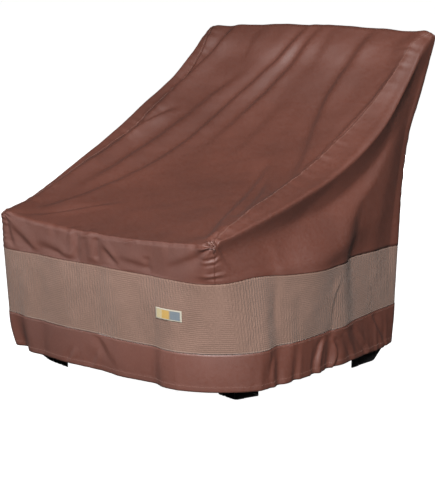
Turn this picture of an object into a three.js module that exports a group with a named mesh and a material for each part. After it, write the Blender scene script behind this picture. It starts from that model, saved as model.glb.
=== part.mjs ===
// Fitted outdoor cover in coated cloth, hollow inside, in the folds in which it hangs.
// Sizes are millimetres. Heights count from the ground, x runs to the right seen from the front,
// y runs from the front to the rear. The origin is moved to the hanging point at the end.

import * as THREE from "three";

// Driving sizes of the cloth and of the seams
const CLOTH_THICKNESS = 2.0;
const MESH_THICKNESS = 1.8;
const SEAM_GAP = 0.3;
const PULL_BACK = { flat: 0.15, corner: 0.25, tip: 0.6 };
const INBOARD_CELLS = 3;
const HANGING_POINT = { x: 0, y: 780, height: 935 };

// Grid steps of the panels. The front and the rear drop have the same number of rows,
// so that a side panel finds the same seam points at its front and at its rear.
const STEPS = { across: 34, drop: 6, bend: 6, slope: 26, band: 4, hem: 4 };
const HALF_BEND = STEPS.bend / 2;

// Walls in plan at the three level seams, with corners as sharp points before they are rounded
const BAND_TOP = {
  heightFront: 427, heightRear: 405, front: -87, rear: 644,
  leftFront: -355, rightFront: 324, leftRear: -362, rightRear: 366,
  roundLeft: 66, roundRight: 92, roundRear: 45, bulge: 20,
};
const BAND_BOTTOM = {
  heightFront: 267, heightRear: 250, front: -85, rear: 631,
  leftFront: -357, rightFront: 358, leftRear: -360, rightRear: 364,
  roundLeft: 100, roundRight: 170, roundRear: 50, bulge: 13,
};
const HEM_BOTTOM = {
  heightFront: 180, heightRear: 153, front: -80, rear: 628,
  leftFront: -354, rightFront: 362, leftRear: -354, rightRear: 358,
  roundLeft: 185, roundRight: 200, roundRear: 60, bulge: 16,
};

// Sections of the slope between the front edge and the top edge
const SLOPE_SECTIONS = [
  { y: -90, halfWidth: 318, left: 512, middle: 500, right: 520 },
  { y: 30, halfWidth: 335, left: 541, middle: 532, right: 547 },
  { y: 180, halfWidth: 342, left: 598, middle: 568, right: 578 },
  { y: 330, halfWidth: 346, left: 662, middle: 613, right: 615 },
  { y: 460, halfWidth: 349, left: 728, middle: 672, right: 676 },
  { y: 580, halfWidth: 352, left: 786, middle: 745, right: 746 },
  { y: 680, halfWidth: 355, left: 854, middle: 832, right: 829 },
  { y: 725, halfWidth: 356, left: 893, middle: 893, right: 880 },
  { y: 773, halfWidth: 358, left: 928, middle: 943, right: 924 },
];

// How far the rear drop still leans back, as a share of the lean at the top edge
const REAR_SECTIONS = [
  { down: 0, lean: 1 },
  { down: 0.145, lean: 0.74 },
  { down: 0.24, lean: 0.62 },
  { down: 0.36, lean: 0.43 },
  { down: 0.46, lean: 0.24 },
  { down: 0.6, lean: 0.14 },
  { down: 0.75, lean: 0.06 },
  { down: 1, lean: 0 },
];

// The long seams lie inboard of the slope's two crests, by these shares of its half width
const SEAM_INSETS = [
  { distance: 0, left: 0.03, right: 0.03 },
  { distance: 65, left: 0.04, right: 0.08 },
  { distance: 150, left: 0.06, right: 0.135 },
  { distance: 270, left: 0.08, right: 0.18 },
  { distance: 430, left: 0.12, right: 0.21 },
  { distance: 560, left: 0.13, right: 0.205 },
  { distance: 680, left: 0.12, right: 0.172 },
  { distance: 800, left: 0.1, right: 0.13 },
  { distance: 900, left: 0.08, right: 0.11 },
  { distance: 960, left: 0.06, right: 0.07 },
  { distance: 996, left: 0.03, right: 0.03 },
];
const FRONT_BEND = 20;
const TOP_BEND = 18;
const TOP_ROLL = { depthMiddle: 26, depthSeam: 10, fall: 3 };

// Folds of the centre panel. The distance runs along the panel from the front edge, minus down the
// front drop, and x is given at the start, the middle and the end of the fold.
const CENTRE_FOLDS = [
  { from: 470, to: 985, xFrom: -306, xMiddle: -298, xTo: -262, width: 17, depth: -13, fade: 90 },
  { from: 20, to: 640, xFrom: -322, xMiddle: -316, xTo: -254, width: 14, depth: -8, fade: 120 },
  { from: 200, to: 980, xFrom: -262, xMiddle: -203, xTo: -172, width: 22, depth: -13, fade: 130 },
  { from: 60, to: 975, xFrom: -256, xMiddle: -143, xTo: -30, width: 17, depth: -10, fade: 130 },
  { from: 470, to: 950, xFrom: -78, xMiddle: -52, xTo: -2, width: 20, depth: -6, fade: 110 },
  { from: 700, to: 975, xFrom: 36, xMiddle: 44, xTo: 66, width: 18, depth: -5, fade: 90 },
  { from: 450, to: 985, xFrom: 218, xMiddle: 147, xTo: 194, width: 20, depth: -11, fade: 90 },
  { from: 330, to: 560, xFrom: 228, xMiddle: 182, xTo: 134, width: 18, depth: -6, fade: 80 },
  { from: 60, to: 460, xFrom: 276, xMiddle: 194, xTo: 130, width: 20, depth: -8, fade: 100 },
  { from: 0, to: 150, xFrom: -268, xMiddle: -196, xTo: -128, width: 16, depth: -5, fade: 60 },
  { from: 330, to: 900, xFrom: -262, xMiddle: -240, xTo: -222, width: 24, depth: 8, fade: 130 },
  { from: 150, to: 900, xFrom: -212, xMiddle: -170, xTo: -105, width: 20, depth: 6, fade: 140 },
  { from: 500, to: 960, xFrom: 140, xMiddle: 108, xTo: 152, width: 22, depth: 6, fade: 110 },
  { from: 60, to: 520, xFrom: 300, xMiddle: 232, xTo: 170, width: 20, depth: 7, fade: 110 },
  { from: -84, to: 14, xFrom: -286, xMiddle: -300, xTo: -312, width: 14, depth: -7, fade: 30 },
  { from: -84, to: 10, xFrom: -210, xMiddle: -240, xTo: -280, width: 15, depth: -9, fade: 30 },
  { from: -84, to: 12, xFrom: -108, xMiddle: -140, xTo: -200, width: 16, depth: -9, fade: 30 },
  { from: -84, to: 16, xFrom: 44, xMiddle: 20, xTo: -8, width: 18, depth: -8, fade: 28 },
  { from: -80, to: 30, xFrom: -94, xMiddle: -92, xTo: -78, width: 16, depth: 7, fade: 26 },
  { from: -80, to: 30, xFrom: -30, xMiddle: -34, xTo: -40, width: 14, depth: 7, fade: 26 },
  { from: -60, to: 24, xFrom: 120, xMiddle: 124, xTo: 110, width: 34, depth: 6, fade: 26 },
  { from: 1010, to: 1500, xFrom: -170, xMiddle: -185, xTo: -205, width: 30, depth: -9, fade: 140 },
  { from: 1010, to: 1500, xFrom: 60, xMiddle: 40, xTo: 30, width: 34, depth: -8, fade: 140 },
  { from: 1010, to: 1500, xFrom: 215, xMiddle: 225, xTo: 240, width: 28, depth: -9, fade: 140 },
];

// Folds of the side panels, as y at the low end, the middle and the high end of the fold
const RIGHT_FOLDS = [
  { from: 425, to: 850, yFrom: 300, yMiddle: 540, yTo: 700, width: 46, depth: 17, fade: 90 },
  { from: 425, to: 760, yFrom: 372, yMiddle: 560, yTo: 668, width: 34, depth: -12, fade: 90 },
  { from: 430, to: 560, yFrom: 545, yMiddle: 570, yTo: 592, width: 26, depth: -5, fade: 50 },
];
const LEFT_FOLDS = [
  { from: 425, to: 820, yFrom: 250, yMiddle: 470, yTo: 660, width: 50, depth: 15, fade: 90 },
  { from: 425, to: 740, yFrom: 360, yMiddle: 530, yTo: 640, width: 36, depth: -11, fade: 90 },
  { from: 430, to: 570, yFrom: 120, yMiddle: 150, yTo: 190, width: 40, depth: -8, fade: 50 },
];
const SEAM_HOLLOW = { depth: 20, reach: 44 };

// Stretches next to the seams over which the folds fade out: of the centre panel as shares of its
// half width and of its stages, of a side panel as shares of its sizes, and from its tip in mm
const CENTRE_CALM = { seam: 0.09, end: 0.3 };
const SIDE_CALM = { front: 0.1, rear: 0.06, low: 0.2, high: 0.1, tipFrom: 30, tipTo: 110 };

// Upright folds of the walls, by their place along the wall, with a depth for each level seam
const WALL_FOLDS = [
  { wall: "front", place: 142, width: 20, bandTop: -2, bandBottom: -6, hem: -10 },
  { wall: "front", place: 176, width: 18, bandTop: 0, bandBottom: 1, hem: 5 },
  { wall: "front", place: -10, width: 24, bandTop: -2, bandBottom: -4, hem: -9 },
  { wall: "front", place: 48, width: 30, bandTop: 1, bandBottom: 3, hem: 5 },
  { wall: "front", place: -120, width: 42, bandTop: 3, bandBottom: 4, hem: 4 },
  { wall: "front", place: -205, width: 26, bandTop: -3, bandBottom: -4, hem: -5 },
  { wall: "right", place: 45, width: 50, bandTop: -18, bandBottom: -6, hem: -8 },
  { wall: "right", place: 232, width: 92, bandTop: 27, bandBottom: 2, hem: 1 },
  { wall: "right", place: 112, width: 40, bandTop: 2, bandBottom: -11, hem: -2 },
  { wall: "right", place: 345, width: 44, bandTop: 9, bandBottom: 8, hem: 6 },
  { wall: "right", place: 440, width: 40, bandTop: -14, bandBottom: -5, hem: 9 },
  { wall: "right", place: 160, width: 15, bandTop: 0, bandBottom: -2, hem: -7 },
  { wall: "right", place: 292, width: 15, bandTop: 0, bandBottom: -3, hem: -8 },
  { wall: "right", place: 520, width: 36, bandTop: 3, bandBottom: -3, hem: 4 },
  { wall: "left", place: 60, width: 48, bandTop: -9, bandBottom: -5, hem: -7 },
  { wall: "left", place: 200, width: 80, bandTop: 16, bandBottom: 6, hem: 2 },
  { wall: "left", place: 330, width: 40, bandTop: -8, bandBottom: -6, hem: -9 },
  { wall: "left", place: 450, width: 46, bandTop: 8, bandBottom: 7, hem: 8 },
  { wall: "left", place: 545, width: 30, bandTop: -4, bandBottom: -6, hem: -8 },
  { wall: "rear", place: -205, width: 34, bandTop: -8, bandBottom: -8, hem: -9 },
  { wall: "rear", place: -80, width: 48, bandTop: 6, bandBottom: 8, hem: 8 },
  { wall: "rear", place: 30, width: 36, bandTop: -7, bandBottom: -8, hem: -9 },
  { wall: "rear", place: 130, width: 44, bandTop: 5, bandBottom: 7, hem: 8 },
  { wall: "rear", place: 238, width: 30, bandTop: -8, bandBottom: -7, hem: -8 },
];
const CORNER_CALM = 0.07;

// Small fittings
const LABEL = { x: 190, height: 349, width: 70, tall: 25, thickness: 1.2, standOff: 0.6, steps: 6 };
const LABEL_ROWS = 2;
const SAME_POINT = 0.01;
const STRAP = { tall: 25, thickness: 2, inside: 62, round: 6, cornerSteps: 3 };
const BUCKLE = { length: 50, tall: 30, thickness: 9, bevel: 2.5 };

// Each strap is sewn to the hem at its outer corner and hangs lower on its inner side.
// Low is the height of its lower edge in the middle, the slopes raise it to the right and the rear,
// and the buckle lies on the side that it names.
const STRAP_PLACES = [
  { name: "front_left", x: -300.7, y: 35.3, low: 131, slopeX: -0.4, slopeY: -0.55, buckleSide: 1 },
  { name: "front_right", x: 299, y: 27, low: 154, slopeX: 0.36, slopeY: -0.5, buckleSide: -1 },
  { name: "rear_left", x: -300.5, y: 583.6, low: 117, slopeX: -0.45, slopeY: 0.5, buckleSide: 1 },
  { name: "rear_right", x: 302.1, y: 585.2, low: 115, slopeX: 0.5, slopeY: 0.6, buckleSide: -1 },
];

const mix = (a, b, t) => a + (b - a) * t;
const mixPoint = (a, b, t) => a.clone().lerp(b, t);

function smoothStep(low, high, value) {
  const t = THREE.MathUtils.clamp((value - low) / (high - low), 0, 1);
  return t * t * (3 - 2 * t);
}

// A cubic curve through a table column, with slopes taken from the neighbouring rows
function throughTable(rows, key, column, value) {
  const last = rows.length - 1;
  let i = 0;
  while (i < last - 1 && value > rows[i + 1][key]) {
    i += 1;
  }
  const slopeAt = (k) => {
    const a = rows[Math.max(k - 1, 0)];
    const b = rows[Math.min(k + 1, last)];
    return (b[column] - a[column]) / (b[key] - a[key]);
  };
  const span = rows[i + 1][key] - rows[i][key];
  const t = (value - rows[i][key]) / span;
  const squared = t * t;
  const cubed = squared * t;
  return (2 * cubed - 3 * squared + 1) * rows[i][column]
    + (cubed - 2 * squared + t) * span * slopeAt(i)
    + (3 * squared - 2 * cubed) * rows[i + 1][column]
    + (cubed - squared) * span * slopeAt(i + 1);
}

// Each section gets its distance from the front edge, measured along the middle of the panel
let slopeLength = 0;
SLOPE_SECTIONS.forEach((section, i) => {
  if (i > 0) {
    const before = SLOPE_SECTIONS[i - 1];
    slopeLength += Math.hypot(section.y - before.y, section.middle - before.middle);
  }
  section.distance = slopeLength;
});

// One fold as a soft trough or ridge: its centre follows a parabola through its three places
function foldDepth(fold, along, across, atFrom, atMiddle, atTo) {
  if (along <= fold.from || along >= fold.to) {
    return 0;
  }
  const t = (along - fold.from) / (fold.to - fold.from);
  const centre = atFrom * (1 - t) * (1 - 2 * t) + atMiddle * 4 * t * (1 - t) + atTo * t * (2 * t - 1);
  const ends = smoothStep(fold.from, fold.from + fold.fade, along)
    * smoothStep(0, fold.fade, fold.to - along);
  return fold.depth * ends * Math.exp(-(((across - centre) / fold.width) ** 2));
}

function wallCorners(level) {
  return {
    frontLeft: { x: level.leftFront, y: level.front, round: level.roundLeft },
    frontRight: { x: level.rightFront, y: level.front, round: level.roundRight },
    rearLeft: { x: level.leftRear, y: level.rear, round: level.roundRear },
    rearRight: { x: level.rightRear, y: level.rear, round: level.roundRear },
  };
}

// Each wall runs between two corners, and its corners bend into the walls towards two others
const WALLS = {
  front: { start: "frontLeft", end: "frontRight", startNext: "rearLeft", endNext: "rearRight" },
  right: { start: "frontRight", end: "rearRight", startNext: "frontLeft", endNext: "rearLeft" },
  rear: { start: "rearLeft", end: "rearRight", startNext: "frontLeft", endNext: "frontRight" },
  left: { start: "frontLeft", end: "rearLeft", startNext: "frontRight", endNext: "rearRight" },
};
const WALL_SIDES = {
  front: { outX: 0, outY: -1, place: "x", bulge: 0 },
  right: { outX: 1, outY: 0, place: "y", bulge: 1 },
  rear: { outX: 0, outY: 1, place: "x", bulge: 0 },
  left: { outX: -1, outY: 0, place: "y", bulge: 0.6 },
};
const CURVED_SHARE = 0.81;

function direction(from, to) {
  return new THREE.Vector2(to.x - from.x, to.y - from.y).normalize();
}

// A rounded corner is a parabola between its two tangent points, and a wall runs from the middle
// of one corner to the middle of the next. The share goes from 0 to 1 along the wall.
function planPoint(wallName, share, level) {
  const wall = WALLS[wallName];
  const corners = wallCorners(level);
  const start = corners[wall.start];
  const end = corners[wall.end];
  const full = Math.hypot(end.x - start.x, end.y - start.y);
  const along = direction(start, end);
  const startCurve = CURVED_SHARE * start.round;
  const endCurve = CURVED_SHARE * end.round;
  const straight = full - start.round - end.round;
  const distance = share * (startCurve + straight + endCurve);
  const point = new THREE.Vector2(start.x, start.y);
  if (distance < startCurve) {
    const t = 0.5 + 0.5 * distance / startCurve;
    point.addScaledVector(along, start.round * t * t);
    point.addScaledVector(direction(start, corners[wall.startNext]), start.round * (1 - t) * (1 - t));
  } else if (distance <= startCurve + straight) {
    point.addScaledVector(along, start.round + distance - startCurve);
  } else {
    const t = 0.5 * (distance - startCurve - straight) / endCurve;
    point.addScaledVector(along, full - end.round * (1 - t) * (1 - t));
    point.addScaledVector(direction(end, corners[wall.endNext]), end.round * t * t);
  }
  const side = WALL_SIDES[wallName];
  const bulge = 4 * share * (1 - share) * level.bulge * side.bulge;
  return { x: point.x + side.outX * bulge, y: point.y + side.outY * bulge };
}

// Height of a level seam, which falls a little from the front to the rear
function seamHeight(level, y) {
  return mix(level.heightFront, level.heightRear, (y - level.front) / (level.rear - level.front));
}

// A point of the walls at a level: 0 at the band's top, 1 at its bottom, 2 at the hem's edge
function wallPoint(wallName, share, level) {
  const upper = level <= 1 ? BAND_TOP : BAND_BOTTOM;
  const lower = level <= 1 ? BAND_BOTTOM : HEM_BOTTOM;
  const t = level <= 1 ? level : level - 1;
  const above = planPoint(wallName, share, upper);
  const below = planPoint(wallName, share, lower);
  const drawIn = level <= 1 ? t : t * t;
  const side = WALL_SIDES[wallName];
  const point = new THREE.Vector3(mix(above.x, below.x, drawIn), mix(above.y, below.y, drawIn), 0);
  const calm = smoothStep(0, CORNER_CALM, share) * smoothStep(0, CORNER_CALM, 1 - share);
  let push = 0;
  for (const fold of WALL_FOLDS.filter((row) => row.wall === wallName)) {
    const depth = level <= 1 ? mix(fold.bandTop, fold.bandBottom, t) : mix(fold.bandBottom, fold.hem, t);
    push += depth * Math.exp(-(((point[side.place] - fold.place) / fold.width) ** 2));
  }
  point.x += side.outX * push * calm;
  point.y += side.outY * push * calm;
  point.z = mix(seamHeight(upper, point.y), seamHeight(lower, point.y), t);
  return point;
}

// The slope's surface. Across goes from -1 at the left seam to 1 at the right one.
function slopePoint(across, distance) {
  const at = (column) => throughTable(SLOPE_SECTIONS, "distance", column, distance);
  const left = at("left");
  const right = at("right");
  const dip = at("middle") - (left + right) / 2;
  const height = mix(left, right, (across + 1) / 2) + dip * (1 - across * across);
  return new THREE.Vector3(across * at("halfWidth"), at("y"), height);
}

// The rear rim of the roll over the top edge, deeper in the middle than at the seams
function rollRim(across) {
  const rim = slopePoint(across, slopeLength);
  rim.y += mix(TOP_ROLL.depthSeam, TOP_ROLL.depthMiddle, 1 - across * across);
  rim.z -= TOP_ROLL.fall;
  return rim;
}

function rearPoint(across, down) {
  const top = rollRim(across);
  const bottom = wallPoint("rear", (across + 1) / 2, 0);
  const lean = throughTable(REAR_SECTIONS, "down", "lean", down);
  return new THREE.Vector3(
    mix(top.x, bottom.x, down),
    mix(bottom.y, top.y, lean),
    mix(top.z, bottom.z, down),
  );
}

function bendPoint(points, t) {
  const line = points.length === 3
    ? new THREE.QuadraticBezierCurve3(...points)
    : new THREE.CubicBezierCurve3(...points);
  return line.getPoint(t);
}

// The whole centre panel as one strip. Its stage is 0 at the band in front, 1 to 2 in the bend
// of the front edge, 3 to 4 in the bend of the top edge and 5 at the band in the rear.
function plainCentrePoint(across, stage) {
  const edge = slopePoint(across, 0);
  const foot = wallPoint("front", (across + 1) / 2, 0);
  const bendShare = FRONT_BEND / foot.distanceTo(edge);
  if (stage <= 1) {
    return mixPoint(foot, edge, stage * (1 - bendShare));
  }
  if (stage < 2) {
    const before = mixPoint(foot, edge, 1 - bendShare);
    return bendPoint([before, edge, slopePoint(across, FRONT_BEND)], stage - 1);
  }
  if (stage <= 3) {
    return slopePoint(across, mix(FRONT_BEND, slopeLength - TOP_BEND, stage - 2));
  }
  const top = slopePoint(across, slopeLength);
  const topShare = TOP_BEND / (top.z - BAND_TOP.heightRear);
  if (stage < 4) {
    const before = slopePoint(across, slopeLength - TOP_BEND);
    return bendPoint([before, top, rollRim(across), rearPoint(across, topShare)], stage - 3);
  }
  return rearPoint(across, mix(topShare, 1, stage - 4));
}

// Distance along the centre panel from its front edge, as the fold table counts it
function centreDistance(stage) {
  const drop = SLOPE_SECTIONS[0].middle - BAND_TOP.heightFront;
  const rear = SLOPE_SECTIONS.at(-1).middle - BAND_TOP.heightRear;
  if (stage <= 1) {
    return mix(-drop, -FRONT_BEND, stage);
  }
  if (stage < 2) {
    return mix(-FRONT_BEND, FRONT_BEND, stage - 1);
  }
  if (stage <= 3) {
    return mix(FRONT_BEND, slopeLength - TOP_BEND, stage - 2);
  }
  if (stage < 4) {
    return slopeLength + mix(-TOP_BEND, TOP_BEND, stage - 3);
  }
  return slopeLength + mix(TOP_BEND, rear, stage - 4);
}

const LAST_STAGE = 5;
const NUDGE = 0.002;

// The centre panel with its folds, which move it along its normal
function centrePoint(across, stage) {
  const point = plainCentrePoint(across, stage);
  const distance = centreDistance(stage);
  const calm = smoothStep(0, CENTRE_CALM.seam, 1 - Math.abs(across))
    * smoothStep(0, CENTRE_CALM.end, stage) * smoothStep(0, CENTRE_CALM.end, LAST_STAGE - stage);
  let relief = 0;
  for (const fold of CENTRE_FOLDS) {
    relief += foldDepth(fold, distance, point.x, fold.xFrom, fold.xMiddle, fold.xTo);
  }
  if (relief === 0 || calm === 0) {
    return point;
  }
  const a = plainCentrePoint(across - NUDGE, stage);
  const b = plainCentrePoint(across + NUDGE, stage);
  const c = plainCentrePoint(across, Math.max(stage - NUDGE, 0));
  const d = plainCentrePoint(across, Math.min(stage + NUDGE, LAST_STAGE));
  const normal = b.sub(a).cross(d.sub(c)).normalize();
  return point.addScaledVector(normal, relief * calm);
}

// Stages of the centre panel's grid rows, spread as the steps say
function centreStages() {
  const parts = [STEPS.drop, STEPS.bend, STEPS.slope, STEPS.bend, STEPS.drop];
  const stages = [0];
  parts.forEach((steps, part) => {
    for (let i = 1; i <= steps; i += 1) {
      stages.push(part + i / steps);
    }
  });
  return stages;
}
const STAGES = centreStages();
const CREST_ROW = STEPS.drop;
const SIDE_ROWS = STEPS.drop + HALF_BEND;
const SIDE_COLUMNS = STEPS.slope + STEPS.bend;

// How far out a long seam runs at a stage. It turns in over the slope inside both bends.
function seamAcross(wallName, stage) {
  const turn = THREE.MathUtils.clamp(2 * Math.min(stage - 1, LAST_STAGE - 1 - stage), 0, 1);
  const distance = THREE.MathUtils.clamp(centreDistance(stage), 0, slopeLength);
  return 1 - turn * throughTable(SEAM_INSETS, "distance", wallName, distance);
}

// Shares of the whole length that a row of points has reached at each of its points
function lengthShares(points) {
  const reached = [0];
  for (let i = 1; i < points.length; i += 1) {
    reached.push(reached[i - 1] + points[i].distanceTo(points[i - 1]));
  }
  return reached.map((length) => length / reached.at(-1));
}

// Stage at which a column of the side panel passes the crest: the column's own one on the slope,
// and that of the bend's far end at the panel's front and rear
function crestStage(column) {
  if (column === 0) {
    return 1;
  }
  return column === SIDE_COLUMNS ? LAST_STAGE - 1 : STAGES[SIDE_ROWS + column];
}

// Side panel: a patch from the wall's seam up to the crest, and then a strip over the crest as far
// as the long seam. Its folds push it sideways, and a hollow runs under the crest.
function sideGrid(wallName, folds) {
  const across = wallName === "right" ? 1 : -1;
  const crest = [];
  for (let column = 0; column <= SIDE_COLUMNS; column += 1) {
    crest.push(centrePoint(across, crestStage(column)));
  }
  const corner = (stage) => centrePoint(across, stage);
  const front = STAGES.slice(0, CREST_ROW + 1).map(corner);
  const rear = STAGES.slice(-CREST_ROW - 1).reverse().map(corner);
  const frontShares = lengthShares(front);
  const rearShares = lengthShares(rear);
  const grid = [];
  for (let row = 0; row <= CREST_ROW; row += 1) {
    const frontStray = front[row].clone().sub(mixPoint(front[0], front[CREST_ROW], frontShares[row]));
    const rearStray = rear[row].clone().sub(mixPoint(rear[0], rear[CREST_ROW], rearShares[row]));
    const line = [];
    for (let column = 0; column <= SIDE_COLUMNS; column += 1) {
      const back = column / SIDE_COLUMNS;
      const up = mix(frontShares[row], rearShares[row], back);
      const bottom = wallPoint(wallName, back, 0);
      const point = mixPoint(bottom, crest[column], up);
      point.addScaledVector(frontStray, 1 - back).addScaledVector(rearStray, back);
      const below = (1 - up) * (crest[column].z - bottom.z);
      let push = 0;
      for (const fold of folds) {
        push += foldDepth(fold, point.z, point.y, fold.yFrom, fold.yMiddle, fold.yTo);
      }
      const hollow = below / SEAM_HOLLOW.reach;
      push -= SEAM_HOLLOW.depth * hollow * Math.exp(1 - hollow) * up;
      const calm = smoothStep(0, SIDE_CALM.front, back) * smoothStep(0, SIDE_CALM.rear, 1 - back)
        * smoothStep(0, SIDE_CALM.low, up) * smoothStep(0, SIDE_CALM.high, 1 - up)
        * smoothStep(SIDE_CALM.tipFrom, SIDE_CALM.tipTo, point.distanceTo(crest.at(-1)));
      point.x += across * push * calm;
      line.push(point);
    }
    grid.push(line);
  }
  for (let row = CREST_ROW + 1; row <= SIDE_ROWS; row += 1) {
    const over = (row - CREST_ROW) / HALF_BEND;
    grid.push(crest.map((point, column) => {
      const own = STAGES[SIDE_ROWS + column];
      const reach = mix(1, seamAcross(wallName, own), over);
      return centrePoint(across * reach, mix(crestStage(column), own, over));
    }));
  }
  return grid;
}

// Unit normal of a grid at one of its points, from the neighbouring points
function gridNormal(grid, row, column) {
  const rows = grid.length - 1;
  const columns = grid[0].length - 1;
  const low = grid[Math.max(row - 1, 0)][column];
  const high = grid[Math.min(row + 1, rows)][column];
  const before = grid[row][Math.max(column - 1, 0)];
  const after = grid[row][Math.min(column + 1, columns)];
  return after.clone().sub(before).cross(high.clone().sub(low)).normalize();
}

// A closed shell between an outer and an inner grid. Columns run anticlockwise round the cover or
// to the right, rows run up, so that outer faces look outwards. A loop joins its last column
// to its first one.
function shellGeometry(outer, inner, isLoop) {
  const rows = outer.length;
  const columns = outer[0].length;
  const positions = [];
  for (const grid of [outer, inner]) {
    grid.forEach((line) => line.forEach((p) => positions.push(p.x, p.y, p.z)));
  }
  const out = (row, column) => row * columns + (column % columns);
  const into = (row, column) => rows * columns + out(row, column);
  const index = [];
  const apart = (a, b) => Math.hypot(
    positions[3 * a] - positions[3 * b],
    positions[3 * a + 1] - positions[3 * b + 1],
    positions[3 * a + 2] - positions[3 * b + 2],
  );
  const isFlipped = (a, b, c, d) => apart(b, d) < apart(a, c);
  const quad = (a, b, c, d, flipped = isFlipped(a, b, c, d)) => {
    if (flipped) {
      index.push(a, b, d, b, c, d);
    } else {
      index.push(a, b, c, a, c, d);
    }
  };
  const columnCells = isLoop ? columns : columns - 1;
  for (let row = 0; row < rows - 1; row += 1) {
    for (let column = 0; column < columnCells; column += 1) {
      const corners = [[row, column], [row, column + 1], [row + 1, column + 1], [row + 1, column]];
      const outside = corners.map(([r, c]) => out(r, c));
      const inside = corners.map(([r, c]) => into(r, c));
      const flipped = isFlipped(...outside);
      quad(...outside, flipped);
      quad(inside[1], inside[0], inside[3], inside[2], !flipped);
    }
  }
  for (let column = 0; column < columnCells; column += 1) {
    const last = rows - 1;
    quad(into(0, column), into(0, column + 1), out(0, column + 1), out(0, column));
    quad(out(last, column), out(last, column + 1), into(last, column + 1), into(last, column));
  }
  if (!isLoop) {
    for (let row = 0; row < rows - 1; row += 1) {
      const last = columns - 1;
      quad(out(row, 0), out(row + 1, 0), into(row + 1, 0), into(row, 0));
      quad(out(row + 1, last), out(row, last), into(row, last), into(row + 1, last));
    }
  }
  const geometry = new THREE.BufferGeometry();
  geometry.setAttribute("position", new THREE.Float32BufferAttribute(positions, 3));
  geometry.setIndex(index);
  geometry.computeVertexNormals();
  return geometry;
}

const offsetGrid = (grid, distance) => grid.map((line, row) => line.map((point, column) => (
  point.clone().addScaledVector(gridNormal(grid, row, column), distance))));

// Moves the shared seam points of a panel: the inner one to the mitre of both panels' cloth, and
// both a little back into the panel, so that the neighbours keep their gap.
function mitreSeam(seam) {
  const { outer, inner, at, backAt, ownNormal, otherNormal, pullBack } = seam;
  const pull = outer[backAt[0]][backAt[1]].clone().sub(outer[at[0]][at[1]]).normalize();
  const mitre = ownNormal.clone().add(otherNormal).divideScalar(1 + ownNormal.dot(otherNormal));
  const point = outer[at[0]][at[1]].clone();
  inner[at[0]][at[1]] = point.clone().addScaledVector(mitre, -CLOTH_THICKNESS)
    .addScaledVector(pull, pullBack);
  return point.addScaledVector(pull, pullBack);
}

function clothMaterial(color, roughness) {
  return new THREE.MeshStandardMaterial({ color, roughness, metalness: 0, side: THREE.DoubleSide });
}
const MATERIALS = {
  cloth: () => clothMaterial(0x74463b, 0.55),
  mesh: () => clothMaterial(0x97806f, 0.85),
  label: () => clothMaterial(0xb9a98c, 0.6),
  webbing: () => clothMaterial(0x17161a, 0.8),
  plastic: () => clothMaterial(0x101013, 0.4),
};

function namedMesh(name, geometry, material) {
  const mesh = new THREE.Mesh(geometry, material);
  mesh.name = name;
  return mesh;
}

// The three panels meet in the two long seams. All three grids come first, then their mitres.
function buildPanels() {
  const centre = STAGES.map((stage) => {
    const line = [];
    for (let column = 0; column <= STEPS.across; column += 1) {
      const across = mix(-seamAcross("left", stage), seamAcross("right", stage), column / STEPS.across);
      line.push(centrePoint(across, stage));
    }
    return line;
  });
  const centreInner = offsetGrid(centre, -CLOTH_THICKNESS);
  const centreMoved = centre.map((line) => line.map((point) => point.clone()));
  const meshes = [];
  for (const wallName of ["left", "right"]) {
    const isRight = wallName === "right";
    const plain = sideGrid(wallName, isRight ? RIGHT_FOLDS : LEFT_FOLDS);
    const grid = isRight ? plain : plain.map((line) => line.slice().reverse());
    const inner = offsetGrid(grid, -CLOTH_THICKNESS);
    const moved = grid.map((line) => line.map((point) => point.clone()));
    const column = isRight ? STEPS.across : 0;
    const inboard = isRight ? column - 1 : 1;
    const sideColumn = (fromFront) => (isRight ? fromFront : SIDE_COLUMNS - fromFront);
    STAGES.forEach((stage, row) => {
      const fromFront = THREE.MathUtils.clamp(row - SIDE_ROWS, 0, SIDE_COLUMNS);
      const onFront = row < SIDE_ROWS;
      const onRear = row > SIDE_ROWS + SIDE_COLUMNS;
      let sideRow = SIDE_ROWS;
      let back = [SIDE_ROWS - INBOARD_CELLS, sideColumn(fromFront)];
      if (onFront || onRear) {
        sideRow = onFront ? row : STAGES.length - 1 - row;
        back = [sideRow, sideColumn(onFront ? INBOARD_CELLS : SIDE_COLUMNS - INBOARD_CELLS)];
      } else if (fromFront === 0 || fromFront === SIDE_COLUMNS) {
        const inside = fromFront === 0 ? INBOARD_CELLS : SIDE_COLUMNS - INBOARD_CELLS;
        back = [SIDE_ROWS - INBOARD_CELLS, sideColumn(inside)];
      }
      const isFlat = !onFront && !onRear;
      const pullBack = isFlat ? PULL_BACK.flat : PULL_BACK.corner;
      const sideAt = [sideRow, sideColumn(fromFront)];
      const centreNormal = gridNormal(centre, row, column);
      const sideNormal = gridNormal(grid, sideAt[0], sideAt[1]);
      centreMoved[row][column] = mitreSeam({
        outer: centre, inner: centreInner, at: [row, column], backAt: [row, inboard],
        ownNormal: centreNormal, otherNormal: sideNormal, pullBack,
      });
      moved[sideAt[0]][sideAt[1]] = mitreSeam({
        outer: grid, inner, at: sideAt, backAt: back, ownNormal: sideNormal, otherNormal: centreNormal,
        pullBack: stage > 3 && stage < LAST_STAGE - 1 ? PULL_BACK.tip : pullBack,
      });
    });
    liftEdge(moved[0], inner[0]);
    const side = shellGeometry(moved, inner, false);
    meshes.push(namedMesh(`side_panel_${wallName}`, side, MATERIALS.cloth()));
  }
  liftEdge(centreMoved[0], centreInner[0]);
  liftEdge(centreMoved.at(-1), centreInner.at(-1));
  const middle = shellGeometry(centreMoved, centreInner, false);
  meshes.unshift(namedMesh("centre_panel", middle, MATERIALS.cloth()));
  return meshes;
}

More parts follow.
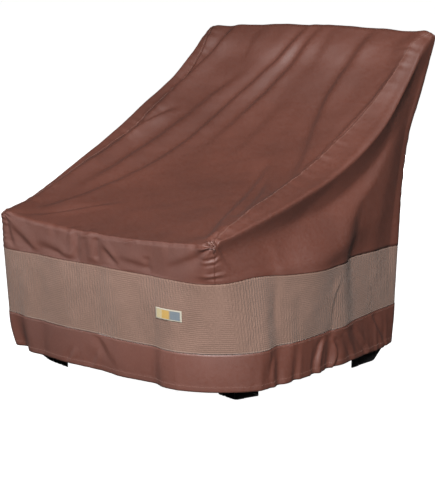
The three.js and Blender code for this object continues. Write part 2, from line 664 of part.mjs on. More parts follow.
// Sets the bottom edge of a panel half a gap above the level seam
function liftEdge(outerLine, innerLine) {
  outerLine.forEach((point, i) => {
    const height = seamHeight(BAND_TOP, point.y) + SEAM_GAP / 2;
    point.z = height;
    innerLine[i].z = height;
  });
}

// Places along the walls once round the cover: front, right, rear and left
function roundTheWalls() {
  const places = [];
  const addWall = (wallName, steps, isForward) => {
    for (let i = 0; i < steps; i += 1) {
      places.push({ wallName, share: isForward ? i / steps : 1 - i / steps });
    }
  };
  addWall("front", STEPS.across, true);
  addWall("right", SIDE_COLUMNS, true);
  addWall("rear", STEPS.across, false);
  addWall("left", SIDE_COLUMNS, false);
  return places;
}

// The surface of a band once round the cover between two levels
function bandGrid(topLevel, bottomLevel, rows) {
  const places = roundTheWalls();
  const grid = [];
  for (let row = 0; row <= rows; row += 1) {
    const level = mix(bottomLevel, topLevel, row / rows);
    grid.push(places.map((place) => wallPoint(place.wallName, place.share, level)));
  }
  return grid;
}

// Unit normals of a grid whose last column joins its first one
function loopNormals(grid) {
  const count = grid[0].length;
  return grid.map((line, row) => line.map((point, column) => {
    const before = line[(column + count - 1) % count];
    const after = line[(column + 1) % count];
    const low = grid[Math.max(row - 1, 0)][column];
    const high = grid[Math.min(row + 1, grid.length - 1)][column];
    return after.clone().sub(before).cross(high.clone().sub(low)).normalize();
  }));
}

// A band of cloth with its edges moved in by the seams' gaps, thickened inwards on the level
function buildBand(name, grid, thickness, gapTop, gapBottom, material) {
  const normals = loopNormals(grid);
  const outer = grid.map((line) => line.map((point) => point.clone()));
  outer.at(-1).forEach((point) => {
    point.z -= gapTop;
  });
  outer[0].forEach((point) => {
    point.z += gapBottom;
  });
  const inner = outer.map((line, row) => line.map((point, column) => {
    const flat = normals[row][column].clone().setZ(0).normalize();
    return point.clone().addScaledVector(flat, -thickness);
  }));
  return namedMesh(name, shellGeometry(outer, inner, true), material);
}

// A small plate that lies on the band's front
function buildLabel(bandFront) {
  const columns = bandFront[0].length - 1;
  const surface = (x, height) => {
    const points = bandFront.map((line) => {
      let column = 0;
      while (column < columns - 1 && line[column + 1].x < x) {
        column += 1;
      }
      const t = (x - line[column].x) / (line[column + 1].x - line[column].x);
      return mixPoint(line[column], line[column + 1], t);
    });
    let row = 0;
    while (row < points.length - 2 && points[row + 1].z < height) {
      row += 1;
    }
    const t = (height - points[row].z) / (points[row + 1].z - points[row].z);
    return mixPoint(points[row], points[row + 1], t);
  };
  const makeGrid = (stand) => {
    const grid = [];
    for (let row = 0; row <= LABEL_ROWS; row += 1) {
      const line = [];
      for (let column = 0; column <= LABEL.steps; column += 1) {
        const x = LABEL.x + LABEL.width * (column / LABEL.steps - 0.5);
        const height = LABEL.height + LABEL.tall * (row / LABEL_ROWS - 0.5);
        line.push(surface(x, height).setX(x).setZ(height).add(new THREE.Vector3(0, -stand, 0)));
      }
      grid.push(line);
    }
    return grid;
  };
  const front = makeGrid(LABEL.standOff + LABEL.thickness);
  const back = makeGrid(LABEL.standOff);
  return namedMesh("label", shellGeometry(front, back, false), MATERIALS.label());
}

// Webbing in a loop: an upright strip along a rounded square, open where the buckle joins its ends
function strapGeometry() {
  const reach = STRAP.inside / 2 + STRAP.thickness;
  const gapHalf = BUCKLE.length / 2 + SEAM_GAP;
  const line = new THREE.Path();
  const corner = reach - STRAP.round;
  line.moveTo(reach, gapHalf);
  line.lineTo(reach, corner);
  line.absarc(corner, corner, STRAP.round, 0, Math.PI / 2);
  line.lineTo(-corner, reach);
  line.absarc(-corner, corner, STRAP.round, Math.PI / 2, Math.PI);
  line.lineTo(-reach, -corner);
  line.absarc(-corner, -corner, STRAP.round, Math.PI, 1.5 * Math.PI);
  line.lineTo(corner, -reach);
  line.absarc(corner, -corner, STRAP.round, 1.5 * Math.PI, 2 * Math.PI);
  line.lineTo(reach, -gapHalf);
  const outside = line.getPoints(STRAP.cornerSteps);
  const points = outside.filter((p, i) => i === 0 || p.distanceTo(outside[i - 1]) > SAME_POINT);
  const normals = points.map((p, i) => {
    const a = points[Math.max(i - 1, 0)];
    const b = points[Math.min(i + 1, points.length - 1)];
    const run = b.clone().sub(a).normalize();
    return new THREE.Vector2(run.y, -run.x);
  });
  const gridAt = (depth) => [0, 1].map((row) => points.map((p, i) => new THREE.Vector3(
    p.x - normals[i].x * depth,
    p.y - normals[i].y * depth,
    row * STRAP.tall,
  )));
  return shellGeometry(gridAt(0), gridAt(STRAP.thickness), false);
}

// Half of a side release buckle: a flat block with bevelled rims
function buckleGeometry(length) {
  const shape = new THREE.Shape();
  const halfTall = BUCKLE.tall / 2;
  const halfLength = length / 2;
  const b = BUCKLE.bevel;
  shape.moveTo(-halfLength + b, -halfTall);
  shape.lineTo(halfLength - b, -halfTall);
  shape.lineTo(halfLength, -halfTall + b);
  shape.lineTo(halfLength, halfTall - b);
  shape.lineTo(halfLength - b, halfTall);
  shape.lineTo(-halfLength + b, halfTall);
  shape.lineTo(-halfLength, halfTall - b);
  shape.lineTo(-halfLength, -halfTall + b);
  const geometry = new THREE.ExtrudeGeometry(shape, { depth: BUCKLE.thickness, bevelEnabled: false });
  geometry.translate(0, 0, -BUCKLE.thickness / 2);
  geometry.rotateX(Math.PI / 2);
  geometry.rotateZ(Math.PI / 2);
  return geometry;
}

// Straps and buckles are built level about the strap's middle, turned to the buckle's side and
// then sheared upright to the strap's slopes
function buildStrap(place) {
  const group = new THREE.Group();
  group.position.set(place.x, place.y, place.low);
  const slope = new THREE.Matrix4().set(
    1, 0, 0, 0,
    0, 1, 0, 0,
    place.slopeX, place.slopeY, 1, 0,
    0, 0, 0, 1,
  );
  const turn = new THREE.Matrix4().makeRotationZ(place.buckleSide > 0 ? 0 : Math.PI);
  const fit = (geometry) => geometry.applyMatrix4(turn).applyMatrix4(slope);
  group.add(namedMesh(`strap_${place.name}`, fit(strapGeometry()), MATERIALS.webbing()));
  const middle = STRAP.inside / 2 + STRAP.thickness / 2;
  const length = BUCKLE.length / 2 - SEAM_GAP / 2;
  for (const [name, sign] of [["socket", 1], ["clip", -1]]) {
    const geometry = buckleGeometry(length);
    geometry.translate(middle, sign * (length / 2 + SEAM_GAP / 2), STRAP.tall / 2);
    group.add(namedMesh(`buckle_${name}_${place.name}`, fit(geometry), MATERIALS.plastic()));
  }
  return group;
}

const cover = new THREE.Group();
cover.position.set(-HANGING_POINT.x, -HANGING_POINT.y, -HANGING_POINT.height);
cover.add(...buildPanels());

const half = SEAM_GAP / 2;
const meshGrid = bandGrid(0, 1, STEPS.band);
const hemGrid = bandGrid(1, 2, STEPS.hem);
cover.add(buildBand("mesh_band", meshGrid, MESH_THICKNESS, half, half, MATERIALS.mesh()));
cover.add(buildBand("hem_band", hemGrid, CLOTH_THICKNESS, half, 0, MATERIALS.cloth()));
cover.add(buildLabel(meshGrid.map((line) => line.slice(0, STEPS.across))));
STRAP_PLACES.forEach((place) => cover.add(buildStrap(place)));

export default cover;
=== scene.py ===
"""Fitted outdoor cover in brown coated cloth with a tan mesh band, in the folds in which it hangs.

Shapes are worked out in millimetres, with heights counted from the ground, x to the right seen from
the front and y from the front to the rear. The meshes are in metres about the hanging point.
"""

import logging
import math
from dataclasses import dataclass, field
from enum import Enum
from functools import reduce
from typing import Sequence

import bpy
import numpy as np
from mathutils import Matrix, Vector


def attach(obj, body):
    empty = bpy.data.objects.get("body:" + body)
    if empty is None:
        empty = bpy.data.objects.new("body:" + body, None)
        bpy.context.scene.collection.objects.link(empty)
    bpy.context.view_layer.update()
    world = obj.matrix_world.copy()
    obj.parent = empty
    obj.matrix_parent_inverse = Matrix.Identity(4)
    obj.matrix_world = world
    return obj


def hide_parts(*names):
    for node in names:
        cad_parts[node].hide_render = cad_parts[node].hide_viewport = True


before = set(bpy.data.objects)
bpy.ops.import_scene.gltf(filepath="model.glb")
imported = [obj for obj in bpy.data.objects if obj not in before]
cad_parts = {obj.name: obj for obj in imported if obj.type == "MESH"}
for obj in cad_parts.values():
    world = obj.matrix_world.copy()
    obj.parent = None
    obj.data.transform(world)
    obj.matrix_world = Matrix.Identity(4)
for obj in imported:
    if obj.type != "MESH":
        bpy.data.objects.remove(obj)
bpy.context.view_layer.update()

Array = np.ndarray
Socket = bpy.types.NodeSocket
Material = bpy.types.Material
Colour = tuple[float, float, float]
Value = Socket | float | Sequence[float]
HANGING_POINT = np.array([0.0, 780.0, 935.0])
METRE = 0.001
ROOT = "root"

log = logging.getLogger("cover")


# Small helpers on whole arrays


def mix(a: Array, b: Array, t: Array) -> Array:
    """Straight blend from a to b as t goes from 0 to 1."""
    return a + (b - a) * t


def blend_points(a: Array, b: Array, t: Array) -> Array:
    """Straight blend of two arrays of points, with one t for each point."""
    return a + (b - a) * np.asarray(t)[..., None]


def smooth_step(low: float, high: float, value: Array) -> Array:
    """Rise from 0 at low to 1 at high on the curve 3 t squared minus 2 t cubed."""
    t = np.clip((value - low) / (high - low), 0.0, 1.0)
    return t * t * (3.0 - 2.0 * t)


def calm_ends(share: Array, near: float, far: float | None = None, last: float = 1.0) -> Array:
    """Rise from 0 at both ends of a run from 0 to last, in smooth steps near and far long."""
    return smooth_step(0, near, share) * smooth_step(0, near if far is None else far, last - share)


def bell(value: Array | float, width: Array | float) -> Array:
    """Bell curve of height 1: e to the minus square of a value over its width."""
    return np.exp(-((value / width) ** 2))


def bell_of_length(vectors: Array, width: float) -> Array:
    """Bell curve of the lengths of vectors, with a last axis of 1."""
    return bell(np.linalg.norm(vectors, axis=-1, keepdims=True), width)


def through_table(keys: Array, values: Array, at: Array) -> Array:
    """Cubic Hermite curve through a table, with each slope taken from the rows beside it.

    Args:
        keys: Rising places of the rows.
        values: Value of each row.
        at: Places at which the curve is read.

    Returns:
        The curve's values, in the shape of at.
    """
    at = np.asarray(at, dtype=float)
    last = len(keys) - 1
    before = np.maximum(np.arange(last + 1) - 1, 0)
    after = np.minimum(np.arange(last + 1) + 1, last)
    slopes = (values[after] - values[before]) / (keys[after] - keys[before])
    i = np.clip(np.searchsorted(keys, at) - 1, 0, last - 1)
    span = keys[i + 1] - keys[i]
    t = (at - keys[i]) / span
    t2, t3 = t * t, t * t * t
    return (
        (2 * t3 - 3 * t2 + 1) * values[i]
        + (t3 - 2 * t2 + t) * span * slopes[i]
        + (3 * t2 - 2 * t3) * values[i + 1]
        + (t3 - t2) * span * slopes[i + 1]
    )


def columns_at(table: Sequence, at: Array) -> list[Array]:
    """Further columns of a table, each on a curve through its rows, at places of its first column."""
    keys, *columns = np.array(table, dtype=float).T
    return [through_table(keys, column, at) for column in columns]


def lesser(a: Array, b: Array, rounding: float) -> Array:
    """Smaller of two heights, rounded where they meet."""
    return -rounding * np.logaddexp(-a / rounding, -b / rounding)


def unit(vectors: Array) -> Array:
    """Vectors scaled to length 1."""
    return vectors / np.maximum(np.linalg.norm(vectors, axis=-1, keepdims=True), 1e-9)


def reached_lengths(points: Array) -> Array:
    """Length that a row of points has reached at each of its points, starting from 0."""
    steps = np.linalg.norm(np.diff(points, axis=0), axis=1)
    return np.concatenate([[0.0], np.cumsum(steps)])


def rows_between(at: Array, keys: Array, rows: Array) -> Array:
    """Rows of a table at places between its keys, each column straight from row to row."""
    return np.stack([np.interp(at, keys, column) for column in rows.T], 1)


def grid_normals(grid: Array, is_loop: bool = False) -> Array:
    """Outward unit normals of a grid of points: the cross product of its run and its rise.

    Args:
        grid: Points, with rows running up and columns running to the right seen from outside.
        is_loop: Whether the last column joins the first one.

    Returns:
        One normal for each point.
    """
    if is_loop:
        run = np.roll(grid, -1, axis=1) - np.roll(grid, 1, axis=1)
    else:
        run = np.gradient(grid, axis=1)
    return unit(np.cross(run, np.gradient(grid, axis=0)))


# Meshes


@dataclass
class Shell:
    """Corner points, four-sided faces, their smoothing and their place on the cloth."""

    points: Array
    faces: Array
    smooth: Array
    uv: Array

    def joined(self, other: "Shell") -> "Shell":
        """This shell and another one as a single one."""
        return Shell(
            np.concatenate([self.points, other.points]),
            np.concatenate([self.faces, other.faces + len(self.points)]),
            np.concatenate([self.smooth, other.smooth]),
            np.concatenate([self.uv, other.uv]),
        )

    def as_object(self, name: str) -> bpy.types.Object:
        """Make the Blender object, in metres about the hanging point.

        Args:
            name: Name of the piece.

        Returns:
            The linked object, at the origin.
        """
        mesh = bpy.data.meshes.new(name)
        points = (self.points - HANGING_POINT) * METRE
        mesh.vertices.add(len(points))
        mesh.vertices.foreach_set("co", points.astype(np.float32).ravel())
        mesh.loops.add(self.faces.size)
        mesh.loops.foreach_set("vertex_index", self.faces.astype(np.int32).ravel())
        mesh.polygons.add(len(self.faces))
        starts = np.arange(len(self.faces), dtype=np.int32) * 4
        mesh.polygons.foreach_set("loop_start", starts)
        mesh.polygons.foreach_set("use_smooth", self.smooth.astype(bool))
        layer = mesh.uv_layers.new(name="cloth")
        layer.uv.foreach_set("vector", (self.uv * METRE).astype(np.float32).ravel())
        mesh.update(calc_edges=True)
        mesh.validate()
        piece = bpy.data.objects.new(name, mesh)
        bpy.context.scene.collection.objects.link(piece)
        return piece


def plain_shell(points: Array, faces: Array) -> Shell:
    """Shell of smooth faces that has no place on the cloth."""
    return Shell(points.reshape(-1, 3), faces, np.ones(len(faces), bool), np.zeros((len(faces), 4, 2)))


def shell_between(outer: Array, inner: Array, is_loop: bool = False, uv: Array | None = None) -> Shell:
    """Closed shell between an outer and an inner grid of the same shape.

    Rows run up and columns run to the right seen from outside. A loop joins its last column to its
    first one, and its map has one column more, for the length once round.

    Args:
        outer: Points of the outer surface.
        inner: Points of the inner surface.
        is_loop: Whether the grid is closed round.
        uv: Place of each point on the flat cloth, in mm. Left out, the lengths on the grid are used.

    Returns:
        The shell, with its faces pointing out.
    """
    rows, columns = outer.shape[:2]
    if uv is None:
        uv = cloth_map(outer, is_loop)
    cells = columns if is_loop else columns - 1
    r, c = np.meshgrid(np.arange(rows - 1), np.arange(cells), indexing="ij")
    r, c = r.ravel(), c.ravel()
    rise = np.stack([r, r, r + 1, r + 1], 1)
    blocks = [
        (np.zeros_like(rise), rise, np.stack([c, c + 1, c + 1, c], 1)),
        (np.ones_like(rise), rise, np.stack([c + 1, c, c, c + 1], 1)),
    ]
    k = np.arange(cells)
    along = np.stack([k, k + 1, k + 1, k], 1)
    layers = np.tile([1, 1, 0, 0], (cells, 1))
    for edge_row, edge_layers in ((0, layers), (rows - 1, 1 - layers)):
        blocks.append((edge_layers, np.full_like(along, edge_row), along))
    if not is_loop:
        k = np.arange(rows - 1)
        layers = np.tile([0, 0, 1, 1], (rows - 1, 1))
        up, down = np.stack([k, k + 1, k + 1, k], 1), np.stack([k + 1, k, k, k + 1], 1)
        for edge_column, way in ((0, up), (columns - 1, down)):
            blocks.append((layers, way, np.full_like(way, edge_column)))
    layer, row, column = (np.concatenate([block[i] for block in blocks]) for i in range(3))
    faces = layer * (rows * columns) + row * columns + column % columns
    smooth = np.arange(len(faces)) < 2 * len(r)
    points = np.concatenate([outer.reshape(-1, 3), inner.reshape(-1, 3)])
    return Shell(points, faces, smooth, uv[row, column])


def cloth_map(grid: Array, is_loop: bool = False) -> Array:
    """Place of each grid point on the cloth: its length along its row and up its column, in mm.

    Both lengths are measured on the grid's middle row and middle column.

    Args:
        grid: Points of the cloth.
        is_loop: Whether the last column joins the first one.

    Returns:
        Both lengths of each point, with one column more on a loop.
    """
    if is_loop:
        grid = np.concatenate([grid, grid[:, :1]], axis=1)
    rows, columns = grid.shape[:2]
    across = reached_lengths(grid[rows // 2])
    up = reached_lengths(grid[:, columns // 2])
    u, v = np.meshgrid(across - across[-1] / 2, up)
    return np.stack([u, v], axis=-1)


def thin_sheet(grid: Array, thickness: float, is_loop: bool = False, uv: Array | None = None) -> Shell:
    """Closed sheet of one thickness: the inner grid lies the thickness inside the outer one."""
    inner = grid - grid_normals(grid, is_loop) * thickness
    return shell_between(grid, inner, is_loop, uv)


# Finishes


class FinishNodes:
    """One node material that is put together step by step."""

    def __init__(self, name: str) -> None:
        """Start an empty material with its shader, its output and its coordinates.

        Args:
            name: Name of the material.
        """
        self.material = bpy.data.materials.new(name)
        self.material.use_nodes = True
        self.tree = self.material.node_tree
        self.tree.nodes.clear()
        self.shader = self.node("ShaderNodeBsdfPrincipled")
        self.node("ShaderNodeOutputMaterial", Surface=self.shader.outputs["BSDF"])
        self.places = self.node("ShaderNodeTexCoord")

    def put(self, value: Value, target: Socket) -> None:
        """Link a socket to an input, or give the input a constant.

        Args:
            value: The socket or the constant.
            target: The input.
        """
        if isinstance(value, Socket):
            self.tree.links.new(value, target)
        else:
            target.default_value = value

    def fill(self, node: bpy.types.Node, **values: Value) -> None:
        """Put values on a node's inputs, which are named with _ for a space."""
        for name, value in values.items():
            self.put(value, node.inputs[name.replace("_", " ")])

    def set_shader(self, **values: Value) -> None:
        """Put values on the shader's own inputs."""
        self.fill(self.shader, **values)

    def node(self, kind: str, **values: Value) -> bpy.types.Node:
        """New node.

        Args:
            kind: Its type.
            values: What its inputs take.

        Returns:
            The node.
        """
        node = self.tree.nodes.new(kind)
        self.fill(node, **values)
        return node

    def coordinates(self, kind: str, stretch: Sequence[float] = (1, 1, 1)) -> Socket:
        """Object or UV coordinates, stretched along each axis."""
        return self.node("ShaderNodeMapping", Vector=self.places.outputs[kind], Scale=stretch).outputs[0]

    def noise(self, place: Socket, scale: float, detail: float = 3.0, roughness: float = 0.5) -> Socket:
        """Cloudy noise between 0 and 1."""
        values = {"Vector": place, "Scale": scale, "Detail": detail, "Roughness": roughness}
        return self.node("ShaderNodeTexNoise", **values).outputs["Fac"]

    def wave(self, place: Socket, axis: str, period: float, stray: float = 0.0,
             stray_scale: float = 1.0) -> Socket:
        """Sine bands across one axis.

        Args:
            place: Coordinates.
            axis: X or Y.
            period: Width of a band and its gap in metres.
            stray, stray_scale: How far and how finely the lines stray.

        Returns:
            The bands, from 0 to 1.
        """
        node = self.node("ShaderNodeTexWave", Vector=place, Scale=math.pi / 10 / period,
                         Distortion=stray, Detail=1.0, Detail_Scale=stray_scale)
        node.wave_type = "BANDS"
        node.bands_direction = axis
        return node.outputs["Fac"]

    def math(self, operation: str, a: Socket | float, b: Socket | float = 0.0) -> Socket:
        """One sum on numbers or sockets.

        Args:
            operation: Name of the sum.
            a, b: Its terms.

        Returns:
            The result.
        """
        node = self.node("ShaderNodeMath")
        node.operation = operation
        self.put(a, node.inputs[0])
        self.put(b, node.inputs[1])
        return node.outputs[0]

    def weighted(self, *terms: tuple[Socket, float]) -> Socket:
        """Sum of sockets, each times its weight."""
        parts = [self.math("MULTIPLY", value, weight) for value, weight in terms]
        return reduce(lambda a, b: self.math("ADD", a, b), parts)

    def ramp(self, value: Socket, low: float, high: float, to_low: float = 0.0,
             to_high: float = 1.0) -> Socket:
        """Range low to high of a value, smoothly spread over another range.

        Args:
            value: The value.
            low, high: Its range.
            to_low, to_high: The new range.

        Returns:
            The new value.
        """
        node = self.node("ShaderNodeMapRange", Value=value, From_Min=low, From_Max=high,
                         To_Min=to_low, To_Max=to_high)
        node.interpolation_type = "SMOOTHSTEP"
        return node.outputs["Result"]

    def colours(self, share: Socket, a: Colour | Socket, b: Colour | Socket) -> Socket:
        """Blend of two colours.

        Args:
            share: 0 for a and 1 for b.
            a, b: The colours.

        Returns:
            The blend.
        """
        node = self.node("ShaderNodeMix", Factor=share)
        node.data_type = "RGBA"
        for value, target in zip((a, b), (node.inputs[6], node.inputs[7])):
            self.put(value if isinstance(value, Socket) else (*value, 1.0), target)
        return node.outputs[2]

    def paint(self, share: Socket, a: Colour | Socket, b: Colour | Socket) -> None:
        """Give the shader the blend of two colours as its base colour."""
        self.set_shader(Base_Color=self.colours(share, a, b))

    def axes(self, place: Socket) -> tuple[Socket, Socket]:
        """X and Y of coordinates."""
        split = self.node("ShaderNodeSeparateXYZ", Vector=place)
        return split.outputs["X"], split.outputs["Y"]

    def bumps(self, *layers: tuple[Socket, float, float]) -> None:
        """Stack bump layers on the shader.

        Args:
            layers: Height, depth in metres and strength of each, the coarsest first.
        """
        below = {}
        for height, depth, strength in layers:
            node = self.node("ShaderNodeBump", Height=height, Distance=depth, Strength=strength, **below)
            below = {"Normal": node.outputs["Normal"]}
        self.set_shader(**below)


@dataclass(frozen=True)
class CoatedCloth:
    """Brown polyester with a coating: a tight plain weave under a faint sheen."""

    name: str = "brown_coated_cloth"
    dark: Colour = (0.118, 0.031, 0.0165)
    light: Colour = (0.152, 0.041, 0.0225)
    thread: float = 0.0009
    row_share: float = 1.15
    crease_depth: float = 0.0016
    grain_depth: float = 0.0003
    weave_depth: float = 0.00012
    roughness: tuple[float, float] = (0.54, 0.68)
    coating_index: float = 1.62

    def material(self) -> Material:
        """Build the node material.

        Returns:
            The material.
        """
        nodes = FinishNodes(self.name)
        cloth = nodes.coordinates("UV")
        body = nodes.coordinates("Object")
        clouds = nodes.noise(body, 5.0, 3.0, 0.55)
        fibres = nodes.noise(nodes.coordinates("UV", (260, 900, 1)), 1.0, 2.0)
        share = nodes.weighted((clouds, 0.75), (fibres, 0.25))
        nodes.paint(nodes.ramp(share, 0.3, 0.7), self.dark, self.light)
        across = nodes.wave(cloth, "X", self.thread)
        along = nodes.wave(cloth, "Y", self.thread * self.row_share)
        weave = nodes.math("MULTIPLY", across, along)
        creases = nodes.noise(body, 26.0, 3.0, 0.55)
        grain = nodes.noise(body, 150.0, 3.0, 0.6)
        nodes.bumps(
            (creases, self.crease_depth, 0.45),
            (grain, self.grain_depth, 0.4),
            (weave, self.weave_depth, 0.6),
        )
        nodes.set_shader(Roughness=nodes.ramp(grain, 0.25, 0.75, *self.roughness),
                         IOR=self.coating_index, Specular_IOR_Level=1.0)
        return nodes.material


@dataclass(frozen=True)
class RibbedMesh:
    """Tan mesh: level ribs and small upright crinkles, with tiny holes between the yarns, and a painted
    highlight along both edges.
    """

    name: str = "tan_ribbed_mesh"
    dark: Colour = (0.188, 0.112, 0.084)
    light: Colour = (0.305, 0.186, 0.144)
    # edge: colour of the painted highlight along the band's two edges
    edge: Colour = (0.43, 0.29, 0.235)
    rib: float = 0.0042
    rib_depth: float = 0.0009
    crinkle: float = 0.0075
    crinkle_depth: float = 0.0016
    yarn: float = 0.0013
    hole_depth: float = 0.0003
    height: float = 0.158
    edge_highlight_widths: tuple[float, float] = (0.004, 0.0025)

    def material(self) -> Material:
        """Build the node material. Its map rises from 0 at the band's lower edge.

        Returns:
            The material.
        """
        nodes = FinishNodes(self.name)
        cloth = nodes.coordinates("UV")
        body = nodes.coordinates("Object")
        _, up = nodes.axes(cloth)
        ribs = nodes.wave(cloth, "Y", self.rib, 2.0, 3.0)
        crinkles = nodes.wave(cloth, "X", self.crinkle, 4.0, 2.0)
        where = nodes.ramp(nodes.noise(nodes.coordinates("UV", (7, 3, 1)), 1.0, 1.0), 0.42, 0.62)
        crinkled = nodes.math("MULTIPLY", crinkles, where)
        plain_share = nodes.math("SUBTRACT", 1.0, nodes.math("MULTIPLY", where, 0.7))
        ribbed = nodes.math("MULTIPLY", ribs, plain_share)
        yarn_x = nodes.wave(cloth, "X", self.yarn)
        yarn_y = nodes.wave(cloth, "Y", self.yarn)
        holes = nodes.math("MULTIPLY", yarn_x, yarn_y)
        clouds = nodes.noise(body, 7.0, 3.0, 0.6)
        speckle = nodes.noise(nodes.coordinates("UV", (420, 160, 1)), 1.0, 2.0)
        tone = nodes.weighted((clouds, 0.5), (speckle, 0.3), (holes, 0.3))
        plain = nodes.colours(nodes.ramp(tone, 0.25, 0.8), self.dark, self.light)
        # Painted highlight: the colour turns to the lighter edge colour within a few mm of both edges.
        from_middle = nodes.math("ABSOLUTE", nodes.math("SUBTRACT", up, self.height / 2))
        rim = nodes.ramp(from_middle, *(self.height / 2 - width for width in self.edge_highlight_widths))
        nodes.paint(rim, plain, self.edge)
        nodes.bumps(
            (crinkled, self.crinkle_depth, 0.7),
            (ribbed, self.rib_depth, 0.6),
            (holes, self.hole_depth, 0.6),
        )
        nodes.set_shader(Roughness=0.85, Sheen_Weight=0.15, Sheen_Roughness=0.5,
                         Sheen_Tint=(1.0, 0.93, 0.88, 1.0), Specular_IOR_Level=0.3)
        return nodes.material


@dataclass(frozen=True)
class LabelWeave:
    """Woven label: a pale border round plain blocks of cream, gold and grey blue."""

    name: str = "label_blocks"
    border: Colour = (0.56, 0.52, 0.42)
    cream: Colour = (0.60, 0.50, 0.28)
    gold: Colour = (0.60, 0.37, 0.09)
    blue: Colour = (0.17, 0.21, 0.25)
    shade: Colour = (0.2, 0.18, 0.15)
    gold_start: tuple[float, float] = (-0.0166, -0.0156)
    blue_start: tuple[float, float] = (0.0015, 0.0085)
    side_border: tuple[float, float] = (0.0318, 0.0324)
    edge_border: tuple[float, float] = (0.0094, 0.01)
    middle_height: float = 0.0125
    thread: float = 0.0006
    cross_thread: float = 0.0008

    def material(self) -> Material:
        """Build the node material. The map's origin is the middle of the label's lower edge.

        Returns:
            The material.
        """
        nodes = FinishNodes(self.name)
        cloth = nodes.coordinates("UV")
        x, y = nodes.axes(cloth)
        inside = nodes.colours(nodes.ramp(x, *self.gold_start), self.cream, self.gold)
        inside = nodes.colours(nodes.ramp(x, *self.blue_start), inside, self.blue)
        from_side = nodes.ramp(nodes.math("ABSOLUTE", x), *self.side_border)
        from_middle = nodes.math("ABSOLUTE", nodes.math("SUBTRACT", y, self.middle_height))
        from_edge = nodes.ramp(from_middle, *self.edge_border)
        rim = nodes.math("MAXIMUM", from_side, from_edge)
        threads = nodes.wave(cloth, "Y", self.thread)
        cross_threads = nodes.wave(cloth, "X", self.cross_thread)
        framed = nodes.colours(rim, inside, self.border)
        nodes.paint(nodes.math("MULTIPLY", threads, 0.25), framed, self.shade)
        nodes.bumps((threads, 0.0002, 0.5), (cross_threads, 0.00015, 0.4))
        nodes.set_shader(Roughness=0.55, Sheen_Weight=0.1, Specular_IOR_Level=0.4)
        return nodes.material


@dataclass(frozen=True)
class BlackWebbing:
    """Flat black webbing with its ribbed weave, matt."""

    name: str = "black_webbing"
    dark: Colour = (0.006, 0.006, 0.007)
    light: Colour = (0.022, 0.022, 0.024)
    rib: float = 0.0016
    row: float = 0.0021

    def material(self) -> Material:
        """Build the node material.

        Returns:
            The material.
        """
        nodes = FinishNodes(self.name)
        cloth = nodes.coordinates("UV")
        ribs = nodes.wave(cloth, "X", self.rib, 0.6, 2.0)
        rows = nodes.wave(cloth, "Y", self.row)
        nodes.paint(nodes.math("MULTIPLY", ribs, rows), self.dark, self.light)
        nodes.bumps((ribs, 0.0004, 0.8), (rows, 0.0003, 0.6))
        nodes.set_shader(Roughness=0.75, Sheen_Weight=0.2, Specular_IOR_Level=0.35)
        return nodes.material


@dataclass(frozen=True)
class MouldedPlastic:
    """Black moulded plastic with a fine grain and a few lighter scuffs."""

    name: str = "black_moulded_plastic"
    base: Colour = (0.008, 0.008, 0.009)
    scuff: Colour = (0.03, 0.03, 0.032)
    grain_depth: float = 0.0001
    roughness: tuple[float, float] = (0.3, 0.46)

    def material(self) -> Material:
        """Build the node material.

        Returns:
            The material.
        """
        nodes = FinishNodes(self.name)
        body = nodes.coordinates("Object")
        grain = nodes.noise(body, 1400.0, 2.0)
        streaks = nodes.noise(nodes.coordinates("Object", (900, 200, 300)), 1.0, 3.0)
        nodes.paint(nodes.ramp(streaks, 0.62, 0.78), self.base, self.scuff)
        nodes.bumps((grain, self.grain_depth, 0.35))
        nodes.set_shader(Roughness=nodes.ramp(grain, 0.2, 0.8, *self.roughness), Specular_IOR_Level=0.5)
        return nodes.material


@dataclass(frozen=True)
class SewingThread:
    """Twisted thread in one colour with a darker twist."""

    name: str
    light: Colour
    dark: Colour

    def material(self) -> Material:
        """Build the node material.

        Returns:
            The material.
        """
        nodes = FinishNodes(self.name)
        twist = nodes.noise(nodes.coordinates("Object"), 900.0, 2.0)
        nodes.paint(nodes.ramp(twist, 0.3, 0.7), self.dark, self.light)
        nodes.bumps((twist, 0.0002, 0.4))
        nodes.set_shader(Roughness=0.6, Sheen_Weight=0.1)
        return nodes.material


# The cover's outside surface


@dataclass(frozen=True)
class Fold:
    """Soft trough or ridge on a parabola through three places, with one steep and one gentle flank."""

    start: float
    end: float
    places: tuple[float, float, float]
    width: float
    depth: float
    fade: float
    steep: float = 0.5
    gentle: float = 1.25

    def relief(self, along: Array, across: Array) -> Array:
        """Depth of the fold at each place, 0 outside its two ends.

        Args:
            along: Places along the fold's run.
            across: Places across it.

        Returns:
            The depth times both fades times the bell of the distance from the parabola, whose
            width is the steep share on the far flank of a trough and the near flank of a ridge.
        """
        t = (along - self.start) / (self.end - self.start)
        a, b, c = self.places
        centre = a * (1 - t) * (1 - 2 * t) + b * 4 * t * (1 - t) + c * t * (2 * t - 1)
        ends = smooth_step(self.start, self.start + self.fade, along)
        ends = ends * smooth_step(0, self.fade, self.end - along)
        off = across - centre
        is_steep = off > 0 if self.depth < 0 else off < 0
        width = self.width * np.where(is_steep, self.steep, self.gentle)
        return self.depth * ends * bell(off, width)


def folds(*rows: tuple, steep: float = 0.5, gentle: float = 1.25) -> tuple[Fold, ...]:
    """Folds from rows of start, end, three places, width, depth and fade."""
    return tuple(Fold(r[0], r[1], (r[2], r[3], r[4]), r[5], r[6], r[7], steep, gentle) for r in rows)


